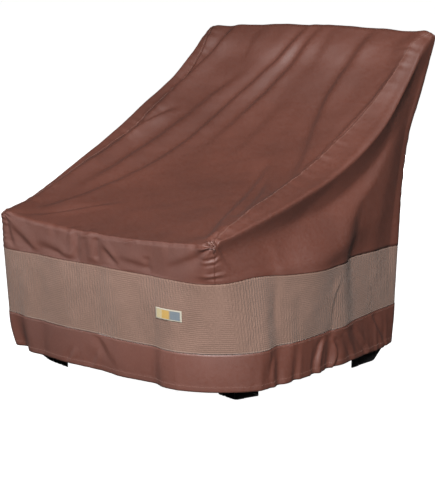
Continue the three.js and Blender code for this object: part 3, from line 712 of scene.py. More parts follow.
@dataclass(frozen=True)
class Crease:
    """Steep flank along a curve, with a trough on its left side and a ridge on its right side.

    Each row holds a distance from the front edge, the flank's place across there and its strength.
    """

    rows: tuple
    width: float = 7.0
    reach: float = 26.0
    height: float = 10.0
    fade: float = 60.0

    def relief(self, along: Array, across: Array) -> Array:
        """Height of the fold: a rounded step times the bell of the distance from its flank.

        Args:
            along: Places along the rows.
            across: Places across them.

        Returns:
            The height of each place.
        """
        rows = np.array(self.rows, dtype=float)
        off = across - through_table(rows[:, 0], rows[:, 1], along)
        strength = np.interp(along, rows[:, 0], rows[:, 2])
        ends = smooth_step(rows[0, 0] - self.fade, rows[0, 0] + self.fade, along)
        ends = ends * smooth_step(-self.fade, self.fade, rows[-1, 0] - along)
        step = off / np.sqrt(self.width**2 + off * off)
        return self.height * strength * ends * step * bell(off, self.reach)


class Wall(Enum):
    """The four walls of the cover."""

    FRONT = "front"
    RIGHT = "right"
    REAR = "rear"
    LEFT = "left"


@dataclass(frozen=True)
class WallRun:
    """A wall's two corners, the corners they bend towards, its outward side and its bulge.

    The span is its rough length, which sets its count of columns, and the shift keeps its gathers
    unlike those of the other walls.
    """

    start: str
    end: str
    start_next: str
    end_next: str
    out: tuple[float, float]
    axis: int
    bulge: float
    span: float
    shift: float


WALL_RUNS = {
    Wall.FRONT: WallRun("front_left", "front_right", "rear_left", "rear_right", (0, -1), 0, 0, 640, 0),
    Wall.RIGHT: WallRun("front_right", "rear_right", "front_left", "rear_left", (1, 0), 1, 1, 740, 300),
    Wall.REAR: WallRun("rear_left", "rear_right", "front_left", "front_right", (0, 1), 0, 0, 690, 700),
    Wall.LEFT: WallRun("front_left", "rear_left", "front_right", "rear_right", (-1, 0), 1, 0.6, 740, 900),
}


@dataclass(frozen=True)
class LevelSeam:
    """One level seam in plan: its four corners, how far they are rounded, and its heights."""

    height_front: float
    height_rear: float
    front: float
    rear: float
    left_front: float
    right_front: float
    left_rear: float
    right_rear: float
    round_left: float
    round_right: float
    round_rear: float
    bulge: float
    rises: tuple = ()
    cut: float = 0.0
    curved_share: float = 0.81

    def curve(self, name: str, t: Array) -> Array:
        """Parabola t squared, drawn towards the straight cut t at the front right corner."""
        cut = self.cut if name == "front_right" else 0.0
        return mix(t * t, t, cut)

    def corner(self, name: str) -> tuple[Array, float]:
        """Sharp point of a corner and how far it is rounded.

        Args:
            name: Name of the corner.

        Returns:
            The point and the rounding.
        """
        corners = {
            "front_left": (self.left_front, self.front, self.round_left),
            "front_right": (self.right_front, self.front, self.round_right),
            "rear_left": (self.left_rear, self.rear, self.round_rear),
            "rear_right": (self.right_rear, self.rear, self.round_rear),
        }
        x, y, rounding = corners[name]
        return np.array([x, y], dtype=float), rounding

    def plan(self, wall: Wall, share: Array) -> Array:
        """Plan points along a wall, from the middle of one rounded corner to that of the next.

        A corner is a parabola between its tangent points: the rounding times t squared along one
        wall plus the rounding times 1 minus t squared along the other. The whole wall bulges out
        by 4 s (1 - s) times its bulge.

        Args:
            wall: The wall.
            share: Places from 0 to 1 along it.

        Returns:
            x and y of each place.
        """
        run = WALL_RUNS[wall]
        (start, round_a), (end, round_b) = self.corner(run.start), self.corner(run.end)
        start_next, end_next = self.corner(run.start_next)[0], self.corner(run.end_next)[0]
        full = np.linalg.norm(end - start)
        along = (end - start) / full
        curve_a, curve_b = self.curved_share * round_a, self.curved_share * round_b
        straight = full - round_a - round_b
        distance = share * (curve_a + straight + curve_b)
        ta = 0.5 + 0.5 * np.clip(distance / curve_a, 0, 1)
        tb = 0.5 * np.clip((distance - curve_a - straight) / curve_b, 0, 1)
        near = round_a * self.curve(run.start, ta)
        far = full - round_b * self.curve(run.end, 1 - tb)
        middle = round_a + distance - curve_a
        in_a, in_b = distance < curve_a, distance > curve_a + straight
        run_length = np.where(in_a, near, np.where(in_b, far, middle))
        aside_a = np.where(in_a, round_a * self.curve(run.start, 1 - ta), 0.0)
        aside_b = np.where(in_b, round_b * self.curve(run.end, tb), 0.0)
        to_a, to_b = unit(start_next - start), unit(end_next - end)
        points = start + along * run_length[..., None]
        points = points + to_a * aside_a[..., None] + to_b * aside_b[..., None]
        push = 4 * share * (1 - share) * self.bulge * run.bulge
        return points + np.array(run.out) * push[..., None]

    def height(self, y: Array) -> Array:
        """Height of the seam, which falls a little from the front to the rear, with its soft rises."""
        height = mix(self.height_front, self.height_rear, (y - self.front) / (self.rear - self.front))
        return height + sum(rise * bell(y - place, width) for place, width, rise in self.rises)


@dataclass(frozen=True)
class WallFold:
    """Upright fold of a wall, with its depth at each of the three level seams.

    A fold that goes in at the hem has a steep far flank and a gentle near one. Beyond makes the
    far flank wider.
    """

    wall: Wall
    place: float
    width: float
    band_top: float
    band_bottom: float
    hem: float
    beyond: float = 1.0
    steep: float = 0.6
    gentle: float = 1.2

    def relief(self, along: Array, t: Array, in_hem: bool) -> Array:
        """Push of the fold: its depth times the bell of the distance from its place.

        Args:
            along: Places along the wall.
            t: Share of the way from the upper seam to the lower one.
            in_hem: Whether the places are in the hem, not in the band.

        Returns:
            How far out each place goes.
        """
        ends = (self.band_bottom, self.hem) if in_hem else (self.band_top, self.band_bottom)
        is_beyond = along > self.place
        width = self.width * (np.where(is_beyond, self.steep, self.gentle) if self.hem < 0 else 1.0)
        width = width * np.where(is_beyond, self.beyond, 1.0)
        return mix(*ends, t) * bell(along - self.place, width)


def wall_folds(wall: Wall, *rows: tuple) -> tuple[WallFold, ...]:
    """Upright folds of one wall from rows of place, width and three depths."""
    return tuple(WallFold(wall, *row) for row in rows)


@dataclass(frozen=True)
class Puckers:
    """Small gathers that a line of stitches pulls in: three unlike waves along the seam."""

    height: float
    reach: float
    lengths: tuple[float, float, float]
    phase: float
    weights: tuple[float, float, float] = (0.5, 0.3, 0.2)
    stray: float = 1.3
    stray_length: float = 47.0
    least_strength: float = 0.3
    strength_length: float = 71.0

    def relief(self, along: Array, away: Array) -> Array:
        """Height of the gathers.

        Args:
            along: Length along the seam.
            away: Distance from it.

        Returns:
            The sum of the three waves, with straying phases, times the bell of the distance.
        """
        stray = self.stray * np.sin(along / self.stray_length + self.phase)
        wave = np.zeros(np.shape(along))
        rows = zip(self.lengths, self.weights, (1.0, 1.6, 0.0), (1, 2, 3))
        for length, weight, stray_share, phases in rows:
            turn = 2 * np.pi * along / length + stray_share * stray + phases * self.phase
            wave += weight * np.sin(turn)
        swing = np.sin(along / self.strength_length + 2.1 * self.phase)
        strength = mix(self.least_strength, 1.0, (1 + swing) / 2)
        return self.height * strength * wave * bell(away, self.reach)


@dataclass(frozen=True)
class SoftWaves:
    """Slight unevenness of hanging cloth: many long faint waves in seeded directions."""

    count: int = 26
    shortest: float = 34.0
    longest: float = 130.0
    height: float = 0.42
    seed: int = 7
    mean_square: float = 0.19

    def relief(self, x: Array, y: Array) -> Array:
        """Sum of the waves at each place, scaled to the height as its root mean square.

        Args:
            x, y: Place on the cloth.

        Returns:
            The height of each place.
        """
        random = np.random.default_rng(self.seed)
        lengths = random.uniform(self.shortest, self.longest, self.count)
        turns = random.uniform(0, 2 * np.pi, self.count)
        phases = random.uniform(0, 2 * np.pi, self.count)
        total = np.zeros(np.broadcast(x, y).shape)
        for length, turn, phase in zip(lengths, turns, phases):
            along = x * math.cos(turn) + y * math.sin(turn)
            total += np.sin(2 * np.pi * along / length + phase) * length / self.longest
        return self.height * total / math.sqrt(self.count * self.mean_square)


@dataclass
class CoverForm:
    """The whole outside surface, as functions of a place on each panel.

    The strip is the centre panel with its two crests. Its place across goes from -1 at the left
    crest to 1 at the right one, and its stage from 0 at the band in front to 5 at the band in the
    rear. Heights are added along the surface's normal.
    """

    band_top: LevelSeam = LevelSeam(
        427, 397, -87, 660, -355, 324, -362, 352, 66, 92, 45, 20, ((25, 80, 9),)
    )
    band_bottom: LevelSeam = LevelSeam(267, 248, -85, 650, -357, 355, -360, 354, 88, 150, 50, 13, (), 0.4)
    hem_bottom: LevelSeam = LevelSeam(180, 150, -80, 645, -354, 353, -354, 351, 115, 142, 60, 13, (), 0.52)
    slope_rows: tuple = (
        (-90, 318, 519, 500, 520), (30, 335, 541, 532, 547), (180, 342, 602, 568, 578),
        (330, 346, 668, 613, 615), (460, 349, 735, 672, 674), (580, 352, 793, 745, 750),
        (680, 355, 860, 832, 842), (725, 356, 896, 893, 890), (773, 358, 928, 943, 924),
    )
    rear_rows: tuple = (
        (0, 1, 0), (0.145, 0.88, 8), (0.24, 0.79, 13), (0.36, 0.6, 16), (0.46, 0.4, 16), (0.6, 0.22, 12),
        (0.75, 0.09, 6), (1, 0, 0),
    )
    seam_rows: tuple = (
        (0, 0.03, 0.03), (65, 0.04, 0.08), (150, 0.06, 0.135), (270, 0.08, 0.18),
        (430, 0.12, 0.21), (560, 0.13, 0.205), (680, 0.12, 0.172), (800, 0.1, 0.13),
        (900, 0.08, 0.11), (960, 0.06, 0.07), (996, 0.03, 0.03),
    )
    front_bend: float = 10.5
    top_bend: float = 18.0
    roll_middle: float = 26.0
    roll_seam: float = 10.0
    roll_fall: float = 3.0
    nudge: float = 0.002
    corner_calm: float = 0.07
    creases: tuple = (
        Crease(((110, -325, 0.5), (250, -312, 0.8), (400, -298, 0.8), (500, -297, 0.7),
                (600, -304, 0.8), (700, -306, 1.7), (800, -296, 1.9), (900, -281, 1.8),
                (960, -272, 1.4)), 12, 39),
        Crease(((430, -296, 0.5), (500, -283, 1), (550, -268, 1), (590, -257, 0.7)), 6, 23, fade=25),
        Crease(((230, -245, 0.5), (345, -233, 0.8), (425, -226, 0.9), (505, -215, 0.8), (600, -203, 0.7),
                (715, -188, 0.7), (790, -160, 0.4)), 14, 36),
        Crease(((90, -250, 0.4), (185, -203, 0.6), (305, -166, 0.8), (425, -147, 1), (555, -134, 1.2),
                (685, -125, 1.3), (805, -95, 1.2), (910, -50, 1.1), (965, -27, 0.9)), 11, 36),
        Crease(((500, -72, 0.3), (585, -68, 0.5), (705, -53, 1), (815, -27, 1), (915, 3, 0.9),
                (965, 18, 0.8)), 13, 36),
        Crease(((860, -176, 0.3), (950, -168, 0.5)), 14, 39),
        Crease(((470, 14, 0.25), (680, 20, 0.25)), 14, 31),
        Crease(((860, 58, 0.3), (960, 66, 0.4)), 14, 31),
        Crease(((300, 270, 0.3), (375, 254, 0.4), (455, 228, 0.6), (555, 194, 0.9), (635, 168, 1.1),
                (735, 145, 1.2), (835, 149, 1.1), (905, 168, 0.8), (975, 188, 0.6)), 16, 44),
        Crease(((20, 290, 0.4), (60, 270, 0.7), (135, 239, 1), (245, 205, 1.1), (365, 168, 0.9),
                (470, 136, 0.5)), 13, 36),
        Crease(((140, 284, 0.5), (245, 250, 0.9), (335, 213, 0.9), (430, 172, 0.5)), 13, 34),
        Crease(((40, -222, 0.5), (75, -185, 0.7), (115, -147, 0.6), (150, -106, 0.3)), 11, 29, fade=30),
        Crease(((140, 292, 0.2), (265, 277, 0.5), (385, 263, 0.9), (505, 261, 1.1), (625, 263, 1.1),
                (685, 272, 1), (745, 287, 0.8), (815, 302, 0.6), (890, 312, 0.4)), 10, 26),
    )
    edge_creases: tuple = (
        Crease(((-288, -26, 0.4), (-270, -33, 0.7), (-250, -42, 0.8), (-235, -51, 0.8), (-220, -62, 0.7),
                (-206, -70, 0.4)), 8, 24, 5, 12),
        Crease(((-204, -49, 0.3), (-175, -48, 0.5), (-150, -52, 0.7), (-130, -56, 0.8), (-115, -65, 0.8),
                (-100, -71, 0.6), (-86, -74, 0.3)), 8, 24, 5, 12),
        Crease(((6, -26, 0.5), (18, -35, 1), (30, -46, 1), (44, -57, 0.6)), 6, 20, 5, 8),
        Crease(((56, -45, 0.3), (100, -49, 0.5), (140, -56, 0.4)), 8, 20, 5, 20),
        Crease(((196, -43, 0.3), (250, -27, 0.5), (290, -15, 0.6)), 6, 18, 5, 16),
    )
    edge_welts: tuple = folds(
        (-120, 292, 3, 4, 2, 3.5, 1.5, 50), (-64, -22, -16, -6, 2, 4, 1.8, 14),
        (70, 118, -8, -2, 2, 4, 1.6, 14),
        steep=1,
        gentle=1,
    )
    centre_folds: tuple = folds(
        (-80, 4, -74, -73, -72, 8, -4, 16), (-66, 2, -13, -12, -11, 9, -4.5, 16),
        (-80, -30, 138, 136, 133, 8, -3, 12), (-84, 10, -282, -300, -314, 16, -6, 30),
        (-80, 30, -94, -92, -88, 18, 2.5, 26), (-80, 30, -30, -34, -38, 18, 3, 26),
        (1010, 1500, -170, -185, -205, 30, -9, 140),
        (1010, 1500, 60, 40, 30, 34, -8, 140), (1010, 1500, 215, 225, 240, 28, -9, 140),
    )
    walls: tuple = (
        *wall_folds(
            Wall.FRONT,
            (142, 30, -2, -5, -7), (178, 24, 0, 1, 4), (-10, 24, -2, -2, -2), (48, 30, 1, 3, 5),
            (-120, 42, 3, 4, 4), (-205, 34, -3, -3, -4), (-288, 40, 0, -9, -26),
        ),
        *wall_folds(
            Wall.RIGHT,
            (95, 30, -4, -5, -9), (232, 92, 27, 2, 1), (112, 40, 2, -11, -2),
            (345, 44, 9, 8, 6), (420, 52, -17, -6, 5, 8), (160, 15, 0, -2, -7),
            (292, 15, 0, -3, -8), (520, 36, 3, -3, 4),
        ),
        *wall_folds(
            Wall.LEFT,
            (60, 48, -9, -5, -7), (200, 80, 16, 6, 2), (330, 40, -8, -6, -9),
            (450, 46, 8, 7, 8), (545, 30, -4, -6, -8),
        ),
        *wall_folds(
            Wall.REAR,
            (-205, 34, -8, -8, -9), (-80, 48, 6, 8, 8), (30, 36, -7, -8, -9),
            (130, 44, 5, 7, 8), (238, 30, -8, -7, -8),
        ),
    )
    long_puckers: Puckers = Puckers(1.5, 26, (41.0, 26.0, 73.0), 0.6)
    corner_puckers: Puckers = Puckers(2.6, 26, (12.5, 9.0, 21.0), 0.2)
    edge_waves: Puckers = Puckers(1.3, 16, (43.0, 27.0, 71.0), 1.9)
    edge_curls: Puckers = Puckers(1.3, 9, (17.0, 12.0, 33.0), 0.4)
    shoulders: tuple[float, float] = (5.0, 10.0)
    shoulder_reach: float = 36.0
    bunch_place: tuple[float, float] = (0.985, 1.3)
    bunch_height: float = 6.4
    bunch_reach: float = 25.0
    bunch_spokes: int = 9
    bunch_shares: tuple[float, float] = (0.35, 1.0)
    unevenness: SoftWaves = SoftWaves()
    slope_start: tuple[float, float] = (-20, 60)
    half_width: float = 345.0
    left_shift: float = 400.0
    end_calm: float = 0.3
    foot_calm: float = 0.1
    crest_calm: float = 0.09
    lap: float = 1.0
    lap_reach: float = 6.0

    def __post_init__(self) -> None:
        """Turn the tables into arrays and measure the slope along its middle."""
        rows = np.array(self.slope_rows, dtype=float)
        steps = np.hypot(np.diff(rows[:, 0]), np.diff(rows[:, 3]))
        self.distances = np.concatenate([[0.0], np.cumsum(steps)])
        self.slope_length = float(self.distances[-1])
        self.slope_table = rows

    def wall_point(self, wall: Wall, share: Array, level: Array) -> Array:
        """Points of a wall: level 0 at the band's top, 1 at its bottom and 2 at the hem's edge.

        The plan goes straight from seam to seam in the band and with the square of the drop in the
        hem. Upright folds push it out by a bell of the distance from their place.

        Args:
            wall: The wall.
            share: Places from 0 to 1 along it.
            level: Levels, all in the band or all in the hem.

        Returns:
            The points.
        """
        share, level = np.broadcast_arrays(np.asarray(share, float), np.asarray(level, float))
        in_hem = float(level.max()) > 1
        upper, lower = (self.band_bottom, self.hem_bottom) if in_hem else (self.band_top, self.band_bottom)
        t = level - 1 if in_hem else level
        drawn = t * t if in_hem else t
        plan = blend_points(upper.plan(wall, share), lower.plan(wall, share), drawn)
        run = WALL_RUNS[wall]
        push = np.zeros(share.shape)
        for fold in self.walls:
            if fold.wall is wall:
                push += fold.relief(plan[..., run.axis], t, in_hem)
        push = push * calm_ends(share, self.corner_calm)
        plan = plan + np.array(run.out) * push[..., None]
        height = mix(upper.height(plan[..., 1]), lower.height(plan[..., 1]), t)
        return np.concatenate([plan, height[..., None]], axis=-1)

    def slope_at(self, column: int, distance: Array) -> Array:
        """One column of the slope's sections at a distance from the front edge."""
        return through_table(self.distances, self.slope_table[:, column], distance)

    def slope_point(self, across: Array, distance: Array) -> Array:
        """The slope: straight from crest to crest plus a dip of 1 minus across squared.

        Args:
            across: Places from crest to crest.
            distance: Distances from the front edge.

        Returns:
            The points.
        """
        left, right = self.slope_at(2, distance), self.slope_at(4, distance)
        dip = self.slope_at(3, distance) - (left + right) / 2
        height = mix(left, right, (across + 1) / 2) + dip * (1 - across * across)
        x, y = across * self.slope_at(1, distance), self.slope_at(0, distance)
        return np.stack(np.broadcast_arrays(x, y, height), axis=-1)

    def roll_rim(self, across: Array) -> Array:
        """Rear rim of the roll over the top edge, deeper in the middle than at the seams.

        Args:
            across: Places from crest to crest.

        Returns:
            The points.
        """
        rim = self.slope_point(across, np.full(np.shape(across), self.slope_length))
        rim[..., 1] += mix(self.roll_seam, self.roll_middle, 1 - across * across)
        rim[..., 2] -= self.roll_fall
        return rim

    def rear_point(self, across: Array, down: Array) -> Array:
        """The rear drop: down from the roll, with its lean and its waist from the table.

        Args:
            across: Places from crest to crest.
            down: 0 at the roll to 1 at the band.

        Returns:
            The points.
        """
        top = self.roll_rim(across)
        bottom = self.wall_point(Wall.REAR, (across + 1) / 2, 0)
        lean, waist = columns_at(self.rear_rows, down)
        x = mix(top[..., 0], bottom[..., 0], down) - across * waist
        y = mix(bottom[..., 1], top[..., 1], lean)
        z = mix(top[..., 2], bottom[..., 2], down)
        return np.stack([x, y, z], axis=-1)

    def plain_centre(self, across: Array, stage: Array) -> Array:
        """The strip up the front, over the slope and down the rear, without its folds.

        Its stage is 0 at the band in front, 1 to 2 in the bend of the front edge (a quadratic
        Bezier), 3 to 4 in the bend of the top edge (a cubic one) and 5 at the band in the rear.

        Args:
            across, stage: Place on the strip.

        Returns:
            The points.
        """
        across, stage = np.broadcast_arrays(np.asarray(across, float), np.asarray(stage, float))
        zero = np.zeros(across.shape)
        edge = self.slope_point(across, zero)
        foot = self.wall_point(Wall.FRONT, (across + 1) / 2, 0)
        share = self.front_bend / np.linalg.norm(foot - edge, axis=-1)
        drop = blend_points(foot, edge, np.clip(stage, 0, 1) * (1 - share))
        low = blend_points(foot, edge, 1 - share)
        high = self.slope_point(across, zero + self.front_bend)
        t = np.clip(stage - 1, 0, 1)[..., None]
        front = low * (1 - t) ** 2 + edge * 2 * t * (1 - t) + high * t * t
        run = mix(self.front_bend, self.slope_length - self.top_bend, np.clip(stage - 2, 0, 1))
        slope = self.slope_point(across, run)
        top = self.slope_point(across, zero + self.slope_length)
        top_share = self.top_bend / (top[..., 2] - self.band_top.height_rear)
        before = self.slope_point(across, zero + self.slope_length - self.top_bend)
        rim, after = self.roll_rim(across), self.rear_point(across, top_share)
        t = np.clip(stage - 3, 0, 1)[..., None]
        over = before * (1 - t) ** 3 + top * 3 * t * (1 - t) ** 2 + rim * 3 * t * t * (1 - t) + after * t**3
        rear = self.rear_point(across, mix(top_share, 1.0, np.clip(stage - 4, 0, 1)))
        is_reached = (stage <= 1, stage < 2, stage <= 3, stage < 4)
        return np.select([test[..., None] for test in is_reached], [drop, front, slope, over], rear)

    def centre_distance(self, stage: Array) -> Array:
        """Distance from the front edge along the strip, minus down the front drop.

        Args:
            stage: Stages along the strip.

        Returns:
            The distances.
        """
        stages = [0, 1, 2, 3, 4, 5]
        drop = self.slope_table[0, 3] - self.band_top.height_front
        rear = self.slope_table[-1, 3] - self.band_top.height_rear
        length, bend = self.slope_length, self.top_bend
        reached = [-drop, -self.front_bend, self.front_bend, length - bend, length + bend, length + rear]
        return np.interp(stage, stages, reached)

    def seam_across(self, wall: Wall, stage: Array) -> Array:
        """How far out a long seam runs: in from the crest over the slope, by the table's share.

        Args:
            wall: The side.
            stage: Stages along the strip.

        Returns:
            The seam's place, 1 being the crest.
        """
        turn = np.clip(2 * np.minimum(stage - 1, 4 - stage), 0, 1)
        distance = np.clip(self.centre_distance(stage), 0, self.slope_length)
        left, right = columns_at(self.seam_rows, distance)
        return 1 - turn * (left if wall is Wall.LEFT else right)

    def main_relief(self, across: Array, stage: Array, x: Array) -> Array:
        """Height of the large folds, which fade out towards the crests and both ends.

        Args:
            across, stage: Place on the strip.
            x: Its x.

        Returns:
            The height of each place.
        """
        distance = self.centre_distance(stage)
        relief = np.zeros(across.shape)
        for fold in (*self.centre_folds, *self.creases):
            relief += fold.relief(distance, x)
        for fold in (*self.edge_creases, *self.edge_welts):
            relief += fold.relief(x, distance)
        for wall, height in zip((Wall.LEFT, Wall.RIGHT), self.shoulders):
            sign = -1.0 if wall is Wall.LEFT else 1.0
            away = (self.seam_across(wall, stage) - across * sign) * self.half_width
            relief += height * bell(away, self.shoulder_reach)
        relief = relief * calm_ends(stage, self.end_calm, last=5)
        return relief * smooth_step(0, self.crest_calm, 1 - np.abs(across))

    def fine_relief(self, across: Array, stage: Array, point: Array) -> Array:
        """Height of the gathers by the seams, the bunched corners and the slight unevenness.

        Args:
            across, stage: Place on the strip.
            point: Its point.

        Returns:
            The height of each place.
        """
        x, distance = point[..., 0], self.centre_distance(stage)
        left, right = self.seam_across(Wall.LEFT, stage), self.seam_across(Wall.RIGHT, stage)
        away = (np.where(across < 0, left, right) - np.abs(across)) * self.half_width
        side = np.where(across < 0, self.left_shift, 0.0)
        over_slope = smooth_step(*self.slope_start, distance)
        relief = self.long_puckers.relief(distance + side, away) * over_slope
        relief += self.corner_puckers.relief(distance + side, away) * (1 - over_slope)
        relief += self.edge_waves.relief(x, distance + 6)
        relief += self.edge_curls.relief(x + 0.6 * distance, distance - 2)
        relief += self.unevenness.relief(x, distance)
        for sign, share in zip((-1.0, 1.0), self.bunch_shares):
            relief += share * self.bunch(point, sign)
        return relief * calm_ends(stage, self.foot_calm, self.end_calm, 5)

    def bunch(self, point: Array, sign: float) -> Array:
        """Cloth bunched up at a front corner: spokes that fade with the distance from it.

        The height is the sine of the count of spokes times a straying angle, times e to the minus
        distance.

        Args:
            point: Points of the strip.
            sign: 1 for the right side and -1 for the left one.

        Returns:
            The height of each point.
        """
        across, stage = self.bunch_place
        middle = self.plain_centre(np.array(across * sign), np.array(stage))
        off = point - middle
        away = np.linalg.norm(off, axis=-1)
        aside = sign * off[..., 0] + 0.8 * off[..., 1]
        angle = np.arctan2(off[..., 2] - 0.5 * off[..., 1], aside)
        spokes = np.sin(self.bunch_spokes * angle + 1.7 * np.sin(2 * angle + 0.5) + sign)
        return self.bunch_height * spokes * np.exp(-away / self.bunch_reach) * smooth_step(0, 7, away)

    def centre(self, across: Array, stage: Array, fine: bool = True) -> Array:
        """The strip with its folds, which move it along its normal.

        The normal is the cross product of the differences across and along, two nudges apart.

        Args:
            across, stage: Place on the strip.
            fine: Whether it has its fine relief.

        Returns:
            The points.
        """
        across, stage = np.broadcast_arrays(np.asarray(across, float), np.asarray(stage, float))
        point = self.plain_centre(across, stage)
        run = self.plain_centre(across + self.nudge, stage) - self.plain_centre(across - self.nudge, stage)
        ahead = self.plain_centre(across, np.minimum(stage + self.nudge, 5))
        behind = self.plain_centre(across, np.maximum(stage - self.nudge, 0))
        normal = unit(np.cross(run, ahead - behind))
        relief = self.main_relief(across, stage, point[..., 0])
        if fine:
            relief = relief + self.fine_relief(across, stage, point)
        return point + normal * relief[..., None]


@dataclass(frozen=True)
class PanelSteps:
    """How finely the panels are divided. Neighbours share their steps along the seams."""

    drop: int = 60
    half_bend: int = 24
    slope: int = 208
    across: int = 112
    strip: int = 24
    coarse_slope: int = 26
    coarse_half_bend: int = 3

    def stages(self) -> Array:
        """Stages of the centre panel's rows, from 0 to 5."""
        parts = (self.drop, 2 * self.half_bend, self.slope, 2 * self.half_bend, self.drop)
        return np.concatenate([*(part + np.arange(steps) / steps for part, steps in enumerate(parts)), [5.0]])

    def side_columns(self) -> tuple[Array, Array, Array]:
        """Share along the wall, own stage and crest's stage of each column of a side panel.

        Returns:
            The three rows of numbers.
        """
        half, run = self.coarse_half_bend, self.coarse_slope
        marks = [0, self.half_bend, self.half_bend + self.slope, 2 * self.half_bend + self.slope]
        column = np.interp(np.arange(marks[-1] + 1), marks, [0, half, half + run, 2 * half + run])
        last = 2 * half + run
        own = np.interp(column, [0, half, half + run, last], [1.5, 2, 3, 3.5])
        crest = np.interp(column, [0, 1, half, half + run, last - 1, last], [1, 1.6667, 2, 3, 3.3333, 4])
        return column / last, own, crest


# Pieces of the cover


@dataclass
class ClothPiece:
    """What every piece of cloth shares: how it is put into the part."""

    form: CoverForm = field(default_factory=CoverForm)
    steps: PanelSteps = PanelSteps()
    thickness: float = 1.1


def dress(piece: bpy.types.Object, material: Material,
          nodes: Sequence[str] = ()) -> None:
    """Give a piece its finish and its body, and hide the frame's nodes that it stands for.

    Args:
        piece: The piece.
        material: Its finish.
        nodes: Nodes of the frame that it replaces.
    """
    piece.data.materials.append(material)
    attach(piece, ROOT)
    if nodes:
        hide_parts(*nodes)
    triangles = sum(len(p.vertices) - 2 for p in piece.data.polygons)
    log.info("%s: %d triangles in %s", piece.name, triangles, material.name)


@dataclass
class CentrePanel(ClothPiece):
    """One strip of cloth up the front, over the slope and the top edge and down the rear."""

    flat: tuple[float, float] = (0.716, 1.67)
    area: float = 1.075
    crowding: float = 0.28

    def grid(self) -> Array:
        """Outside surface between the two long seams, with closer columns beside them.

        Returns:
            The points, with rows from the front to the rear.
        """
        stages = self.steps.stages()[:, None]
        even = np.linspace(-1, 1, self.steps.across + 1)
        spread = mix(even, np.sin(np.pi / 2 * even), self.crowding)
        left = self.form.seam_across(Wall.LEFT, stages)
        right = self.form.seam_across(Wall.RIGHT, stages)
        across = mix(-left, right, (spread[None, :] + 1) / 2)
        return self.form.centre(across, np.broadcast_to(stages, across.shape))

    def build(self, material: Material) -> None:
        """Make the panel.

        Args:
            material: Finish of the cloth.
        """
        piece = thin_sheet(self.grid(), self.thickness).as_object("centre_cloth")
        dress(piece, material, ["centre_panel"])


